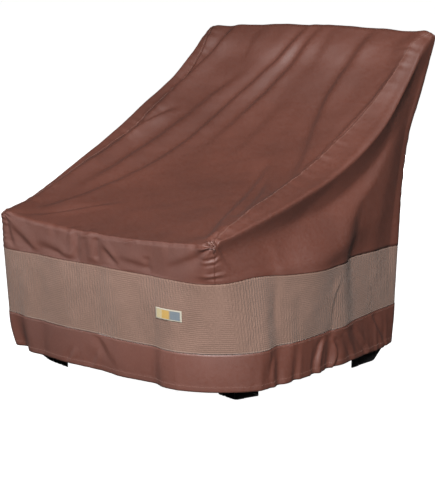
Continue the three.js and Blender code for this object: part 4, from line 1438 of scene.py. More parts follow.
@dataclass
class SidePanel(ClothPiece):
    """Side of the cover: a patch up to the crest and a strip over it to the long seam."""

    wall: Wall = Wall.RIGHT
    drapes: tuple = ()
    flat: tuple[float, float] = (0.93, 0.56)
    area: float = 0.232
    hollow_rows: tuple = (
        (0, 12, 0.27, 1), (0.25, 48, 0.29, 1), (0.38, 72, 0.31, 1), (0.5, 104, 0.31, 1),
        (0.62, 138, 0.29, 0.95), (0.75, 165, 0.25, 0.75), (0.9, 190, 0.18, 0.3), (1, 200, 0.15, 0),
    )
    hollow_rounding: float = 5.0
    ridge_rows: tuple = ()
    ridge_front: float = 190.0
    ridge_rounding: float = 2.5
    calm_front: float = 0.1
    calm_rear: float = 0.06
    calm_low: float = 0.2
    calm_high: float = 0.02
    calm_tip: tuple[float, float] = (30.0, 110.0)
    crest_hold: float = 16.0
    corner_hold: float = 24.0
    round_over: float = 12.0
    round_ends: tuple[float, float] = (0.01, 0.06)
    round_passes: int = 15
    round_share: float = 0.9

    @property
    def sign(self) -> float:
        """Direction outwards: 1 for the right side and -1 for the left one."""
        return 1.0 if self.wall is Wall.RIGHT else -1.0

    def patch(self) -> Array:
        """Rows from the band up to the crest.

        Each point lies straight between the wall's seam and the crest, plus the corners' own
        stray, which fades towards the other corner. Folds and the hollow under the crest push it
        sideways. Near the crest and the corners it follows the strip's fine relief.

        Returns:
            The points.
        """
        back, _, crest_stage = self.steps.side_columns()
        rise = np.arange(self.steps.drop + 1) / self.steps.drop
        top, edge = np.full(back.shape, self.sign), np.full(rise.shape, self.sign)
        crest = self.form.centre(top, crest_stage, fine=False)
        front = self.form.centre(edge, rise, fine=False)
        rear = self.form.centre(edge, 5 - rise, fine=False)
        front_reach, rear_reach = reached_lengths(front), reached_lengths(rear)
        front_share, rear_share = front_reach / front_reach[-1], rear_reach / rear_reach[-1]
        front_stray = front - blend_points(front[0], front[-1], front_share)
        rear_stray = rear - blend_points(rear[0], rear[-1], rear_share)
        up = mix(front_share[:, None], rear_share[:, None], back[None, :])
        bottom = self.form.wall_point(self.wall, back, 0)
        points = blend_points(bottom[None], crest[None], up)
        points = points + front_stray[:, None] * (1 - back)[None, :, None]
        points = points + rear_stray[:, None] * back[None, :, None]
        push = self.ridge(points[..., 1], points[..., 2]) - self.hollow(back, up, crest, bottom)
        for fold in self.drapes:
            push += fold.relief(points[..., 2], points[..., 1])
        tip = np.linalg.norm(points - crest[-1], axis=-1)
        calm = calm_ends(back, self.calm_front, self.calm_rear)[None]
        calm = calm * calm_ends(up, self.calm_low, self.calm_high)
        points[..., 0] += self.sign * push * calm * smooth_step(*self.calm_tip, tip)
        crest_move = self.form.centre(top, crest_stage) - crest
        crest_move[(crest_stage == 1) | (crest_stage == 4)] = 0
        front_move = self.form.centre(edge, rise) - front
        rear_move = self.form.centre(edge, 5 - rise) - rear
        moves = (
            crest_move[None] * bell_of_length(points - crest, self.crest_hold),
            front_move[:, None] * bell_of_length(points - front[:, None], self.corner_hold),
            rear_move[:, None] * bell_of_length(points - rear[:, None], self.corner_hold),
        )
        for move in moves:
            points = points + move
        return points

    def hollow(self, back: Array, up: Array, crest: Array, bottom: Array) -> Array:
        """How far the cloth hangs in below the crest, against the line from the wall to the crest.

        It goes in at one slope down to a height and then straight out to the wall. Each row of the
        table holds a share of the way back, that height, that slope and the share of it all.

        Args:
            back: Share of the way back of each column.
            up: Share of the way up of each point.
            crest, bottom: The crest's line and the wall's seam.

        Returns:
            How far in each point goes.
        """
        tall = crest[:, 2] - bottom[:, 2]
        lean = (np.abs(bottom[:, 0]) - np.abs(crest[:, 0])) / tall
        deepest, slope, share = columns_at(self.hollow_rows, back)
        inward = (slope + lean)[None] * (1 - up) * tall
        outward = ((slope + lean) * deepest * tall / (tall - deepest))[None] * up
        return share[None] * lesser(inward, outward, self.hollow_rounding)

    def ridge(self, y: Array, z: Array) -> Array:
        """How far the table's ridge stands out: two straight flanks, rounded where they meet.

        Each row holds a height, the ridge's y and depth there and the reach of its rear flank.

        Args:
            y, z: Place on the side.

        Returns:
            How far out each point goes.
        """
        if not self.ridge_rows:
            return np.zeros(y.shape)
        at = np.clip(z, self.ridge_rows[0][0], self.ridge_rows[-1][0])
        line, out, reach = columns_at(self.ridge_rows, at)
        front = out * (1 + (y - line) / self.ridge_front)
        rear = out * (1 - (y - line) / reach)
        tent = lesser(front, rear, self.ridge_rounding)
        return -lesser(-tent, np.zeros(y.shape), self.ridge_rounding)

    def strip(self) -> Array:
        """Rows over the crest as far as the long seam.

        Returns:
            The points.
        """
        _, own, crest_stage = self.steps.side_columns()
        over = (np.arange(1, self.steps.strip + 1) / self.steps.strip)[:, None]
        reach = mix(1.0, self.form.seam_across(self.wall, own)[None], over)
        stage = mix(crest_stage[None], own[None], over)
        return self.form.centre(self.sign * reach, stage)

    def rounded(self, grid: Array) -> Array:
        """Round the crest: each pass moves a point towards the middle of its two neighbours.

        The move fades with a bell of the distance from the crest, and towards both ends.

        Args:
            grid: Points of the panel.

        Returns:
            The rounded points.
        """
        away = np.linalg.norm(grid - grid[self.steps.drop][None], axis=-1)
        share = np.linspace(0, 1, grid.shape[1])
        ends = smooth_step(*self.round_ends, share) * smooth_step(*self.round_ends, 1 - share)
        weight = (bell(away, self.round_over) * ends[None])[1:-1, :, None]
        grid = grid.copy()
        for _ in range(self.round_passes):
            middle = (grid[:-2] + grid[2:]) / 2
            grid[1:-1] += weight * (middle - grid[1:-1]) * self.round_share
        return grid

    def grid(self) -> Array:
        """Outside surface, with columns running to the right seen from outside.

        Returns:
            The points, with rows from the band up.
        """
        grid = self.rounded(np.concatenate([self.patch(), self.strip()]))
        return grid if self.wall is Wall.RIGHT else grid[:, ::-1]

    def build(self, material: Material) -> None:
        """Make the panel, which laps a little proud at the long seam.

        Args:
            material: Finish of the cloth.
        """
        side = self.wall.value
        grid = self.grid()
        near = bell(np.linalg.norm(grid - grid[-1][None], axis=-1), self.form.lap_reach)
        grid = grid + grid_normals(grid) * (near * self.form.lap)[..., None]
        piece = thin_sheet(grid, self.thickness).as_object(f"side_cloth_{side}")
        dress(piece, material, [f"side_panel_{side}"])


@dataclass
class Band(ClothPiece):
    """A band of cloth once round the walls between two levels, with creases of its own."""

    top: float = 0.0
    bottom: float = 1.0
    rows: int = 30
    cell: float = 4.0
    corner_calm: float = 0.05
    front_creases: tuple = ()
    right_creases: tuple = ()

    def places(self) -> list[tuple[Wall, Array]]:
        """Walls in order round the cover.

        Returns:
            Each wall with the shares of its columns along it.
        """
        runs = []
        for wall, run in WALL_RUNS.items():
            steps = round(run.span / self.cell)
            share = np.arange(steps) / steps
            runs.append((wall, share if wall in (Wall.FRONT, Wall.RIGHT) else 1 - share))
        return runs

    def grid(self) -> Array:
        """Outside surface: the points of each wall, moved straight out by the band's relief.

        Returns:
            The points, with rows from the lower edge up and columns once round.
        """
        level = mix(self.bottom, self.top, np.arange(self.rows + 1) / self.rows)[:, None]
        parts = []
        for wall, share in self.places():
            point = self.form.wall_point(wall, share[None], level)
            relief = self.relief(wall, point, share[None], level)
            parts.append(point + np.array([*WALL_RUNS[wall].out, 0.0]) * relief[..., None])
        return np.concatenate(parts, axis=1)

    def relief(self, wall: Wall, point: Array, share: Array, level: Array) -> Array:
        """Height of the wall's creases, which fade out towards its two corners.

        Args:
            wall: The wall.
            point, share, level: Points of it, their places along it and their levels.

        Returns:
            The height of each point over the plain wall.
        """
        creases = {Wall.FRONT: self.front_creases, Wall.RIGHT: self.right_creases}.get(wall, ())
        relief = np.zeros(point.shape[:-1])
        for crease in creases:
            relief += crease.relief(point[..., 2], point[..., WALL_RUNS[wall].axis])
        return relief * calm_ends(share, self.corner_calm)


@dataclass
class MeshBand(Band):
    """Level band of tan mesh, with two thin creases pressed into its right side."""

    thickness: float = 0.9
    set_back: float = 0.7
    edge_gap: float = 0.2
    edge_calm: float = 0.15
    flat: tuple[float, float] = (2.78, 0.162)
    area: float = 0.443
    unevenness: SoftWaves = SoftWaves(18, 30, 90, 0.35, 11)
    right_creases: tuple = (
        Crease(((262, 306, -0.5), (280, 296, -0.8), (300, 293, -0.9), (340, 300, -0.9), (372, 320, -0.6)),
               5.0, 16.0, 4.0, 12),
        Crease(((300, 108, 0.4), (340, 100, 0.7), (390, 104, 0.4)), 7.0, 20.0, 4.0, 12),
    )

    def relief(self, wall: Wall, point: Array, share: Array, level: Array) -> Array:
        """The creases and a slight unevenness, which fade out towards both edges as well.

        Args:
            wall: The wall.
            point, share, level: Points of it, their places along it and their levels.

        Returns:
            The height of each point over the plain wall.
        """
        uneven = self.unevenness.relief(point[..., WALL_RUNS[wall].axis], point[..., 2])
        relief = super().relief(wall, point, share, level) + uneven * calm_ends(share, self.corner_calm)
        return relief * calm_ends(level, self.edge_calm)

    def build(self, material: Material) -> None:
        """Make the band, a little behind and clear of its neighbours.

        Args:
            material: Finish of the cloth.
        """
        grid = self.grid()
        grid = grid - grid_normals(grid, True) * self.set_back
        grid[-1, :, 2] -= self.edge_gap
        grid[0, :, 2] += self.edge_gap
        piece = thin_sheet(grid, self.thickness, True).as_object("mesh_band_cloth")
        dress(piece, material, ["mesh_band"])


@dataclass
class HemBand(Band):
    """Brown hem that is drawn in towards its lower edge, with small gathers."""

    top: float = 1.0
    bottom: float = 2.0
    rows: int = 24
    thickness: float = 1.1
    flat: tuple[float, float] = (2.72, 0.102)
    area: float = 0.258
    corner_calm: float = 0.08
    puckers: Puckers = Puckers(1.6, 60, (38.0, 23.0, 67.0), 0.9)
    front_gathers: float = 0.45
    other_gathers: float = 1.2
    edge_height: float = 0.5
    edge_start: tuple[float, float] = (0.84, 0.88)
    front_creases: tuple = (
        Crease(((208, 22, 0.2), (230, 8, 0.5), (250, -8, 0.6), (266, -24, 0.4)), 11.0, 26.0, 5.0, 10),
        Crease(((186, -40, 0.6), (212, -28, 0.7), (228, -22, 0.3)), 6.0, 16.0, 4.0, 8),
        Crease(((184, -196, 0.3), (262, -170, 0.4)), 18.0, 36.0, 4.0, 10),
        Crease(((182, -120, 0.5), (204, -104, 0.7), (222, -96, 0.3)), 5.0, 14.0, 4.0, 8),
    )
    right_creases: tuple = (
        Crease(((160, 76, 0.8), (200, 70, 0.9), (240, 78, 0.4)), 6.0, 20.0, 5.0, 10),
        Crease(((156, 238, 1.2), (200, 236, 1.3), (244, 252, 0.8)), 5.0, 18.0, 5.5, 8),
        Crease(((156, 300, -1.1), (196, 318, -1.3), (236, 300, -0.9)), 5.0, 16.0, 5.0, 8),
        Crease(((160, 396, 1.0), (200, 372, 1.1), (238, 342, 0.7)), 6.0, 18.0, 5.0, 8),
        Crease(((160, 470, 0.9), (196, 438, 1.1), (240, 400, 0.8)), 7.0, 20.0, 5.0, 8),
        Crease(((158, 556, -0.8), (200, 530, -1.0), (246, 500, -0.9)), 7.0, 24.0, 5.5, 8),
    )

    def relief(self, wall: Wall, point: Array, share: Array, level: Array) -> Array:
        """The creases, gathers that grow from the seam down to the edge, and a thicker edge.

        Args:
            wall: The wall.
            point, share, level: Points of it, their places along it and their levels.

        Returns:
            The height of each point over the plain wall.
        """
        along = point[..., WALL_RUNS[wall].axis] + WALL_RUNS[wall].shift
        drop = level - 1
        amount = self.front_gathers if wall is Wall.FRONT else self.other_gathers
        gathers = self.puckers.relief(along, np.zeros_like(along)) * calm_ends(share, self.corner_calm)
        edge = self.edge_height * smooth_step(*self.edge_start, drop)
        return super().relief(wall, point, share, level) + gathers * drop * amount + edge

    def build(self, material: Material) -> None:
        """Make the hem.

        Args:
            material: Finish of the cloth.
        """
        piece = thin_sheet(self.grid(), self.thickness, True).as_object("hem_cloth")
        dress(piece, material, ["hem_band"])


@dataclass(frozen=True)
class StitchLine:
    """Rows of small thread stitches along lines on the cloth."""

    pitch: float = 4.2
    length: float = 3.0
    radius: float = 0.42

    def capsule(self) -> tuple[Array, Array]:
        """One stitch along x: three six-sided rings, closed by two faces at each end.

        Returns:
            The points and the faces.
        """
        turn = np.arange(6) * np.pi / 3
        rings = [(-0.5, 0.55), (0.0, 1.0), (0.5, 0.55)]
        points = [
            np.stack([np.full(6, t * self.length), np.cos(turn) * r * self.radius,
                      np.sin(turn) * r * self.radius], axis=1)
            for t, r in rings
        ]
        k = np.arange(6)
        after = (k + 1) % 6
        tube = [np.stack([a + k, a + after, a + 6 + after, a + 6 + k], 1) for a in (0, 6)]
        caps = np.array([[0, 5, 4, 3], [0, 3, 2, 1], [12, 13, 14, 15], [12, 15, 16, 17]])
        faces = np.concatenate([*tube, caps])
        return np.concatenate(points), faces[:, ::-1]

    def along(self, line: Array, normals: Array) -> Shell:
        """Stitches laid along a line.

        Args:
            line: Points of the line.
            normals: Outward normal of the cloth at each of them.

        Returns:
            All the stitches as one shell.
        """
        reach = reached_lengths(line)
        count = int(reach[-1] / self.pitch)
        at = (np.arange(count) + 0.5) * self.pitch
        centres = rows_between(at, reach, line)
        run = unit(rows_between(at + 1, reach, line) - centres)
        up = unit(rows_between(at, reach, normals))
        aside = unit(np.cross(up, run))
        up = np.cross(run, aside)
        points, faces = self.capsule()
        placed = (
            centres[:, None]
            + run[:, None] * points[None, :, :1]
            + aside[:, None] * points[None, :, 1:2]
            + up[:, None] * points[None, :, 2:]
        )
        shifts = np.arange(count) * len(points)
        every = (faces[None] + shifts[:, None, None]).reshape(-1, 4)
        return plain_shell(placed, every)


@dataclass
class Stitching(ClothPiece):
    """Every visible line of stitches of the cover."""

    stitch: StitchLine = StitchLine()
    stand: float = 0.15
    seam_inset: float = 4.0
    least_width: float = 0.4
    hem_rows: tuple[float, float] = (0.14, 0.955)

    def across_grid(self, grid: Array, row: Array, lift: float = 0.0, is_loop: bool = False) -> Shell:
        """Stitches across a grid, in each column at a row or between two rows.

        Args:
            grid: Points of the cloth.
            row: Row of each column, with its fraction.
            lift: How far the cloth stands over the grid.
            is_loop: Whether the last column joins the first one.

        Returns:
            The stitches, which stand a little proud of the cloth.
        """
        normals = grid_normals(grid, is_loop)
        low = np.floor(row).astype(int)
        high = np.minimum(low + 1, len(grid) - 1)
        k, t = np.arange(grid.shape[1]), (row - low)[:, None]
        line = mix(grid[low, k], grid[high, k], t)
        up = unit(mix(normals[low, k], normals[high, k], t))
        if is_loop:
            line, up = np.concatenate([line, line[:1]]), np.concatenate([up, up[:1]])
        return self.stitch.along(line + up * (lift + self.stand), up)

    def beside_seam(self, side: SidePanel) -> Shell:
        """Stitches along a side panel, at one distance from the long seam where it ends.

        Args:
            side: The side panel.

        Returns:
            The stitches.
        """
        grid = side.grid()
        rows = len(grid) - 1
        width = np.linalg.norm(grid[-1] - grid[-2], axis=1)
        row = rows - self.seam_inset / np.maximum(width, self.least_width)
        lift = self.form.lap * bell(self.seam_inset, self.form.lap_reach)
        return self.across_grid(grid, np.clip(row, self.steps.drop + 1, rows), lift)

    def build_seams(self, sides: Sequence[SidePanel], material: Material) -> None:
        """Make the lines beside the long seams."""
        left, right = (self.beside_seam(side) for side in sides)
        dress(left.joined(right).as_object("seam_stitches"), material)

    def build_hem(self, hem: HemBand, material: Material) -> None:
        """Make the lines above the hem's lower edge and below its seam.

        Args:
            hem: The hem.
            material: Finish of the thread.
        """
        grid = hem.grid()
        rows = (np.full(grid.shape[1], share * hem.rows) for share in self.hem_rows)
        lower, upper = (self.across_grid(grid, row, is_loop=True) for row in rows)
        dress(lower.joined(upper).as_object("hem_stitches"), material)


@dataclass
class WovenLabel(ClothPiece):
    """Small woven label on the front of the band, stitched down round its border."""

    x: float = 190.0
    height: float = 349.0
    width: float = 70.0
    tall: float = 25.0
    thickness: float = 0.9
    stand: float = 0.5
    columns: int = 36
    rows: int = 12
    rounds: int = 8
    start: tuple[float, float] = (0.75, 0.5)
    band_height: float = 160.0
    puff: float = 0.25
    puff_reach: float = 3.0
    stitch: StitchLine = StitchLine(2.6, 1.8, 0.3)
    stitch_rows: int = 1
    stitch_columns: int = 2
    stitch_stand: float = 0.1

    def grid(self) -> Array:
        """Points on the band's front below the label, found by stepping towards x and height.

        Returns:
            The points, with rows from the lower edge up.
        """
        x, z = np.meshgrid(
            self.x + self.width * (np.arange(self.columns + 1) / self.columns - 0.5),
            self.height + self.tall * (np.arange(self.rows + 1) / self.rows - 0.5),
        )
        share, level = (np.full(x.shape, value) for value in self.start)
        for _ in range(self.rounds):
            point = self.form.wall_point(Wall.FRONT, share, level)
            share = share + (x - point[..., 0]) / WALL_RUNS[Wall.FRONT].span
            level = level - (z - point[..., 2]) / self.band_height
        return self.form.wall_point(Wall.FRONT, share, level)

    def once_round(self, grid: Array) -> Array:
        """Points of a grid once round the label, a little in from its rim.

        Args:
            grid: Points or normals of the label's grid.

        Returns:
            One row of them.
        """
        i, j = self.stitch_rows, self.stitch_columns
        inside = grid[i:-i, j:-j]
        return np.concatenate([inside[0], inside[:, -1], inside[-1][::-1], inside[:, 0][::-1]])

    def build(self, material: Material, thread: Material) -> None:
        """Make the label, which is puffed a little inside its rim, and its stitches.

        Args:
            material: Finish of the label.
            thread: Finish of its stitches.
        """
        surface = self.grid()
        normals = grid_normals(surface)
        across, up = np.arange(self.columns + 1), np.arange(self.rows + 1)
        rim_x = np.minimum(across, self.columns - across) * self.width / self.columns
        rim_y = np.minimum(up, self.rows - up) * self.tall / self.rows
        edge = np.minimum(rim_x[None], rim_y[:, None])
        puffed = self.stand + self.thickness + self.puff * smooth_step(0, self.puff_reach, edge)
        outer = surface + normals * puffed[..., None]
        inner = surface + normals * self.stand
        piece = shell_between(outer, inner).as_object("woven_label")
        dress(piece, material, ["label"])
        line, ups = self.once_round(outer), self.once_round(normals)
        stitches = self.stitch.along(line + ups * self.stitch_stand, ups).as_object("label_stitches")
        dress(stitches, thread)


class Corner(Enum):
    """The four corners at which a strap hangs."""

    FRONT_LEFT = "front_left"
    FRONT_RIGHT = "front_right"
    REAR_LEFT = "rear_left"
    REAR_RIGHT = "rear_right"


@dataclass(frozen=True)
class StrapPlace:
    """Middle of a strap's loop, the height of its lower edge, its two slopes and its buckle's side."""

    x: float
    y: float
    low: float
    slope_x: float
    slope_y: float
    buckle_side: int

    def placed(self, points: Array) -> Array:
        """Turn points to the buckle's side, shear them upright to the slopes and move them.

        Args:
            points: Points about the loop's middle.

        Returns:
            The points in place.
        """
        x, y = points[..., 0] * self.buckle_side, points[..., 1] * self.buckle_side
        z = points[..., 2] + self.slope_x * x + self.slope_y * y
        return np.stack([x + self.x, y + self.y, z + self.low], axis=-1)


STRAP_PLACES = {
    Corner.FRONT_LEFT: StrapPlace(-300.7, 35.3, 131, -0.4, -0.55, 1),
    Corner.FRONT_RIGHT: StrapPlace(293.5, 33, 156, 0.36, -0.5, -1),
    Corner.REAR_LEFT: StrapPlace(-300.5, 583.6, 117, -0.45, 0.5, 1),
    Corner.REAR_RIGHT: StrapPlace(302.1, 585.2, 115, 0.5, 0.6, -1),
}


@dataclass(frozen=True)
class BuckleHalf:
    """One half of a buckle: its side of the middle, its body's length and waist, and its bar."""

    name: str
    sign: int
    body_end: float
    waist: float
    bar_start: float
    bar_end: float = 22.0
    gap: float = 0.3


@dataclass
class CornerStrap:
    """Webbing loop with a side release buckle, its two ends folded back round the buckle's bars."""

    corner: Corner
    tall: float = 25.0
    half_thick: float = 0.75
    half_span: float = 32.0
    profile: tuple = (
        (0, 0.45), (0.6, 0.8), (1.8, 1), (6, 1), (12.5, 1), (19, 1), (23.2, 1), (24.4, 0.8), (25, 0.45),
    )
    half_line: tuple = (
        (10, 33.9), (19, 33.9), (27.4, 33.8), (31.9, 32), (33.9, 27.6), (34.6, 24), (34.2, 20.6),
        (32.2, 18.9), (30.1, 20.3), (29.7, 22.4), (31.1, 25.2), (31.9, 27.6), (30.6, 30.6),
        (27.2, 31.9), (18, 32.0), (-18, 32.0), (-27.2, 31.9), (-30.6, 30.6), (-31.9, 27.2),
        (-32.0, 18), (-32.0, 0),
    )
    spacing: float = 0.9
    buckle_half_tall: float = 13.6
    buckle_half_thick: float = 4.2
    body_power: float = 3.4
    body_rings: int = 27
    bar_power: float = 4.5
    bar_half: float = 1.4
    bar_inset: float = 1.6
    halves: tuple = (BuckleHalf("socket", 1, 17.0, 0.1, 15.0), BuckleHalf("clip", -1, 16.0, 0.04, 14.0))

    def path(self) -> Array:
        """Plan line of the webbing: the half line and its mirror image, through a smooth curve.

        Returns:
            The points of the line.
        """
        half = np.array(self.half_line, dtype=float)
        full = np.concatenate([half, (half * (1, -1))[-2::-1]])
        reach = reached_lengths(full)
        at = np.linspace(0, reach[-1], int(reach[-1] / self.spacing))
        return np.stack([through_table(reach, full[:, i], at) for i in (0, 1)], axis=1)

    def webbing(self) -> Shell:
        """Flat webbing: the line carried up the profile, whose rows hold a height and a thickness.

        Returns:
            The webbing, a little thinner at its two edges.
        """
        line = self.path()
        run = unit(np.gradient(line, axis=0))
        out = np.stack([run[:, 1], -run[:, 0]], axis=1)
        rise, share = np.array(self.profile, dtype=float).T
        aside = out[None] * (self.half_thick * share)[:, None, None]
        height = np.broadcast_to(rise[:, None, None], (*aside.shape[:2], 1))
        near = np.concatenate([line[None] + aside, height], axis=-1)
        far = np.concatenate([line[None] - aside, height], axis=-1)
        u, v = np.meshgrid(reached_lengths(line), rise)
        return shell_between(near, far, uv=np.stack([u, v], axis=-1))

    def body(self, half: BuckleHalf) -> Shell:
        """Body of a buckle half: superellipse sections along its length, narrowed at the waist.

        Args:
            half: The half.

        Returns:
            A closed form, with a small flat face at each end.
        """
        v = np.linspace(0, 1, self.body_rings)[:, None]
        turn = np.linspace(0, 2 * np.pi, 41)[None, :-1]
        cap = np.clip(np.minimum(v, 1 - v) / 0.1, 0, 1)
        ends = np.sqrt(np.clip(1 - (1 - cap) ** 2, 0.02, 1))
        narrow = 1 - half.waist * bell(v - 0.45, 0.24)
        x, z = superellipse(turn, self.body_power)
        x = x * (self.buckle_half_thick * (0.8 + 0.2 * ends) * ends**0.6)
        z = z * (self.buckle_half_tall * narrow * (0.86 + 0.14 * ends))
        dimple = 0.5 * bell(v - 0.5, 0.22) * bell(z, 6.0) * np.sign(np.cos(turn))
        y = half.sign * mix(half.gap, half.body_end, v) + 0 * turn
        points = np.stack([self.half_span + x - dimple, y, self.tall / 2 + z], axis=-1)
        return closed_tube(points, flip=half.sign < 0)

    def bar(self, half: BuckleHalf) -> Shell:
        """Frame for the webbing: a small round section carried round a rounded rectangle.

        Args:
            half: The buckle half that it is on.

        Returns:
            The closed frame.
        """
        y, z = superellipse(np.linspace(0, 2 * np.pi, 49)[:-1], self.bar_power)
        y = (half.bar_start + half.bar_end) / 2 + y * (half.bar_end - half.bar_start) / 2
        z = z * (self.buckle_half_tall - self.bar_inset)
        line = np.stack([np.zeros_like(y), half.sign * y, z], axis=1)
        run = unit(np.roll(line, -1, 0) - np.roll(line, 1, 0))
        side = np.cross(run, [1.0, 0, 0])
        angle = np.linspace(0, 2 * np.pi, 13)[:-1]
        section = self.bar_half * np.stack([np.cos(angle), np.sin(angle)], axis=1)
        ring = line[:, None] + side[:, None] * section[None, :, :1]
        ring = ring + np.array([1.0, 0, 0]) * section[None, :, 1:]
        ring = ring + np.array([self.half_span, 0, self.tall / 2])
        return closed_ring(ring, flip=half.sign > 0)

    def build(self, webbing: Material, plastic: Material) -> None:
        """Make the webbing and both halves of the buckle.

        Args:
            webbing: Finish of the webbing.
            plastic: Finish of the buckle.
        """
        place, name = STRAP_PLACES[self.corner], self.corner.value
        strip = self.webbing()
        strip.points = place.placed(strip.points)
        piece = strip.as_object(f"webbing_{name}")
        dress(piece, webbing, [f"strap_{name}"])
        for half in self.halves:
            shell = self.body(half).joined(self.bar(half))
            shell.points = place.placed(shell.points)
            part = shell.as_object(f"release_{half.name}_{name}")
            dress(part, plastic, [f"buckle_{half.name}_{name}"])


def superellipse(turn: Array, power: float) -> tuple[Array, Array]:
    """Rounded square of half width 1: cosine and sine, each to 2 over the power, with its sign."""
    c, s = np.cos(turn), np.sin(turn)
    return np.sign(c) * np.abs(c) ** (2 / power), np.sign(s) * np.abs(s) ** (2 / power)


def closed_tube(points: Array, flip: bool = False) -> Shell:
    """Tube of rings of points, closed at both ends by folding the end rings flat.

    Args:
        points: Rings along the tube, each with an even number of points.
        flip: Whether to turn the faces round.

    Returns:
        The closed shell.
    """
    rings, count = points.shape[:2]
    r, k = np.meshgrid(np.arange(rings - 1), np.arange(count), indexing="ij")
    r, k = r.ravel(), k.ravel()
    after = (k + 1) % count
    faces = np.stack([r * count + k, (r + 1) * count + k, (r + 1) * count + after, r * count + after], 1)
    j = np.arange(count // 2 - 1)
    low = np.stack([j, j + 1, count - 2 - j, count - 1 - j], 1)
    high = low[:, ::-1] + (rings - 1) * count
    faces = np.concatenate([faces, low, high])
    if flip:
        faces = faces[:, ::-1]
    return plain_shell(points, faces)


def closed_ring(points: Array, flip: bool = False) -> Shell:
    """Ring of sections, closed both round its path and round its section.

    Args:
        points: Sections round the path.
        flip: Whether to turn the faces round.

    Returns:
        The closed shell.
    """
    path, count = points.shape[:2]
    r, k = np.meshgrid(np.arange(path), np.arange(count), indexing="ij")
    r, k = r.ravel(), k.ravel()
    ahead, after = (r + 1) % path, (k + 1) % count
    faces = np.stack([r * count + k, r * count + after, ahead * count + after, ahead * count + k], 1)
    if flip:
        faces = faces[:, ::-1]
    return plain_shell(points, faces)


# Studio


@dataclass(frozen=True)
class StudioLight:
    """A soft rectangular lamp that points at the cover."""

    name: str
    place: tuple[float, float, float]
    size: float
    power: float
    is_mirrored: bool = True

    def build(self, target: Vector) -> None:
        """Add the lamp and turn it to the target.

        Args:
            target: Place that it points at.
        """
        data = bpy.data.lights.new(self.name, "AREA")
        data.shape = "SQUARE"
        data.size = self.size
        data.energy = self.power
        lamp = bpy.data.objects.new(self.name, data)
        lamp.location = self.place
        lamp.visible_glossy = self.is_mirrored
        lamp.rotation_euler = (target - Vector(self.place)).to_track_quat("-Z", "Y").to_euler()
        bpy.context.scene.collection.objects.link(lamp)


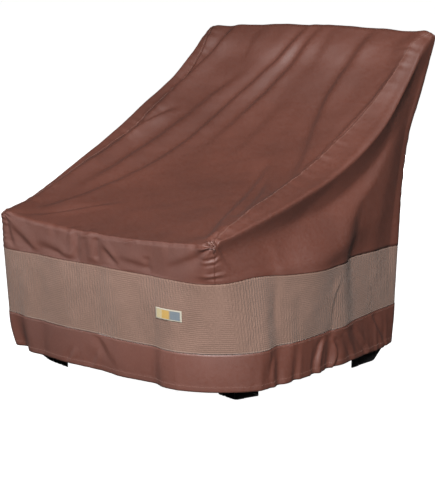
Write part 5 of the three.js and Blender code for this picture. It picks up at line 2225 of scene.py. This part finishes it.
@dataclass(frozen=True)
class Studio:
    """Pale floor, even light, a key lamp at the front right, two weak lamps and the camera."""

    camera_place: tuple[float, float, float] = (1.8136, -2.8102, 0.1195)
    camera_forward: tuple[float, float, float] = (-0.5938, 0.7754, -0.2149)
    lens: float = 88.33
    floor_height: float = -0.935
    floor_radius: float = 60.0
    floor_sides: int = 96
    wall_height: float = 60.0
    floor_tones: tuple[Colour, Colour] = ((0.86, 0.86, 0.86), (0.9, 0.9, 0.9))
    floor_glow: float = 0.95
    even_light: float = 0.07
    lit_place: tuple[float, float, float] = (0.0, -0.35, -0.35)
    lights: tuple = (
        StudioLight("key", (2.1, -3.3, 1.4), 1.2, 225.0),
        StudioLight("low_left", (-2.5, -3.6, -0.1), 2.0, 26.0),
        StudioLight("rear", (-1.6, 3.8, 0.0), 2.4, 70.0, False),
    )

    def build_camera(self) -> None:
        """Put the camera at the photograph's viewpoint."""
        data = bpy.data.cameras.new("camera")
        data.sensor_fit = "VERTICAL"
        data.sensor_height = 36.0
        data.lens = self.lens
        data.clip_end = 200.0
        camera = bpy.data.objects.new("camera", data)
        camera.location = self.camera_place
        camera.rotation_euler = Vector(self.camera_forward).to_track_quat("-Z", "Y").to_euler()
        bpy.context.scene.collection.objects.link(camera)
        bpy.context.scene.camera = camera

    def build_floor(self) -> None:
        """Lay the pale floor, a wide dish whose rim rises far behind the cover on every side."""
        sides = self.floor_sides
        turn = np.linspace(0, 2 * np.pi, sides + 1)[:-1]
        mesh = bpy.data.meshes.new("studio_floor")
        rim = np.stack([np.cos(turn), np.sin(turn), 0 * turn], axis=1) * self.floor_radius
        rim[:, 2] = self.floor_height
        upper = rim + np.array([0.0, 0.0, self.wall_height])
        k = np.arange(sides)
        wall = np.stack([(k + 1) % sides, k, sides + k, sides + (k + 1) % sides], axis=1)
        faces = [tuple(range(sides)), *map(tuple, wall.tolist())]
        mesh.from_pydata(np.concatenate([rim, upper]).tolist(), [], faces)
        floor = bpy.data.objects.new("studio_floor", mesh)
        nodes = FinishNodes("pale_floor")
        nodes.paint(nodes.noise(nodes.coordinates("Object"), 1.5, 2.0), *self.floor_tones)
        nodes.set_shader(Roughness=0.9, Specular_IOR_Level=0.1, Emission_Color=(1.0, 1.0, 1.0, 1.0),
                         Emission_Strength=self.floor_glow)
        mesh.materials.append(nodes.material)
        floor.visible_diffuse = False
        floor.visible_glossy = False
        bpy.context.scene.collection.objects.link(floor)

    def build_light(self) -> None:
        """Light the scene evenly from all round, and with the lamps."""
        world = bpy.data.worlds.new("studio")
        world.use_nodes = True
        back = world.node_tree.nodes["Background"]
        back.inputs["Color"].default_value = (1.0, 1.0, 1.0, 1.0)
        back.inputs["Strength"].default_value = self.even_light
        world.cycles_visibility.glossy = False
        bpy.context.scene.world = world
        for light in self.lights:
            light.build(Vector(self.lit_place))

    def build(self) -> None:
        """Build the camera, the floor and the light."""
        self.build_camera()
        self.build_floor()
        self.build_light()
        bpy.context.scene.view_settings.view_transform = "Standard"


RIGHT_RIDGE = (
    (400, 280, 6, 340),
    (440, 312, 22, 320),
    (481, 355, 32, 280),
    (531, 428, 36, 215),
    (576, 500, 36, 160),
    (641, 572, 30, 105),
    (691, 612, 22, 80),
    (760, 660, 8, 60),
    (850, 700, 0, 60),
)
LEFT_DRAPES = folds(
    (410, 820, 250, 470, 660, 50, 22, 120),
    (430, 570, 120, 150, 190, 40, -6, 50),
    steep=1.0,
    gentle=2.2,
)


def main() -> None:
    """Build the studio and every piece of the cover in order."""
    logging.basicConfig(level=logging.INFO, format="%(message)s", force=True)
    Studio().build()
    form = CoverForm()
    cloth = CoatedCloth().material()
    mesh = RibbedMesh().material()
    webbing = BlackWebbing().material()
    plastic = MouldedPlastic().material()
    brown_thread = SewingThread("brown_thread", (0.42, 0.25, 0.2), (0.2, 0.1, 0.075)).material()
    dark_thread = SewingThread("dark_thread", (0.3, 0.16, 0.12), (0.16, 0.07, 0.05)).material()
    pale_thread = SewingThread("pale_thread", (0.55, 0.5, 0.42), (0.34, 0.3, 0.24)).material()

    MeshBand(form=form).build(mesh)
    CentrePanel(form=form).build(cloth)
    right = SidePanel(form=form, wall=Wall.RIGHT, ridge_rows=RIGHT_RIDGE)
    left = SidePanel(form=form, wall=Wall.LEFT, drapes=LEFT_DRAPES)
    for side in (right, left):
        side.build(cloth)
    hem = HemBand(form=form)
    hem.build(cloth)
    stitching = Stitching(form=form)
    stitching.build_seams((right, left), brown_thread)
    stitching.build_hem(hem, dark_thread)
    WovenLabel(form=form).build(LabelWeave().material(), pale_thread)
    for corner in Corner:
        CornerStrap(corner).build(webbing, plastic)


if __name__ == "__main__":
    main()
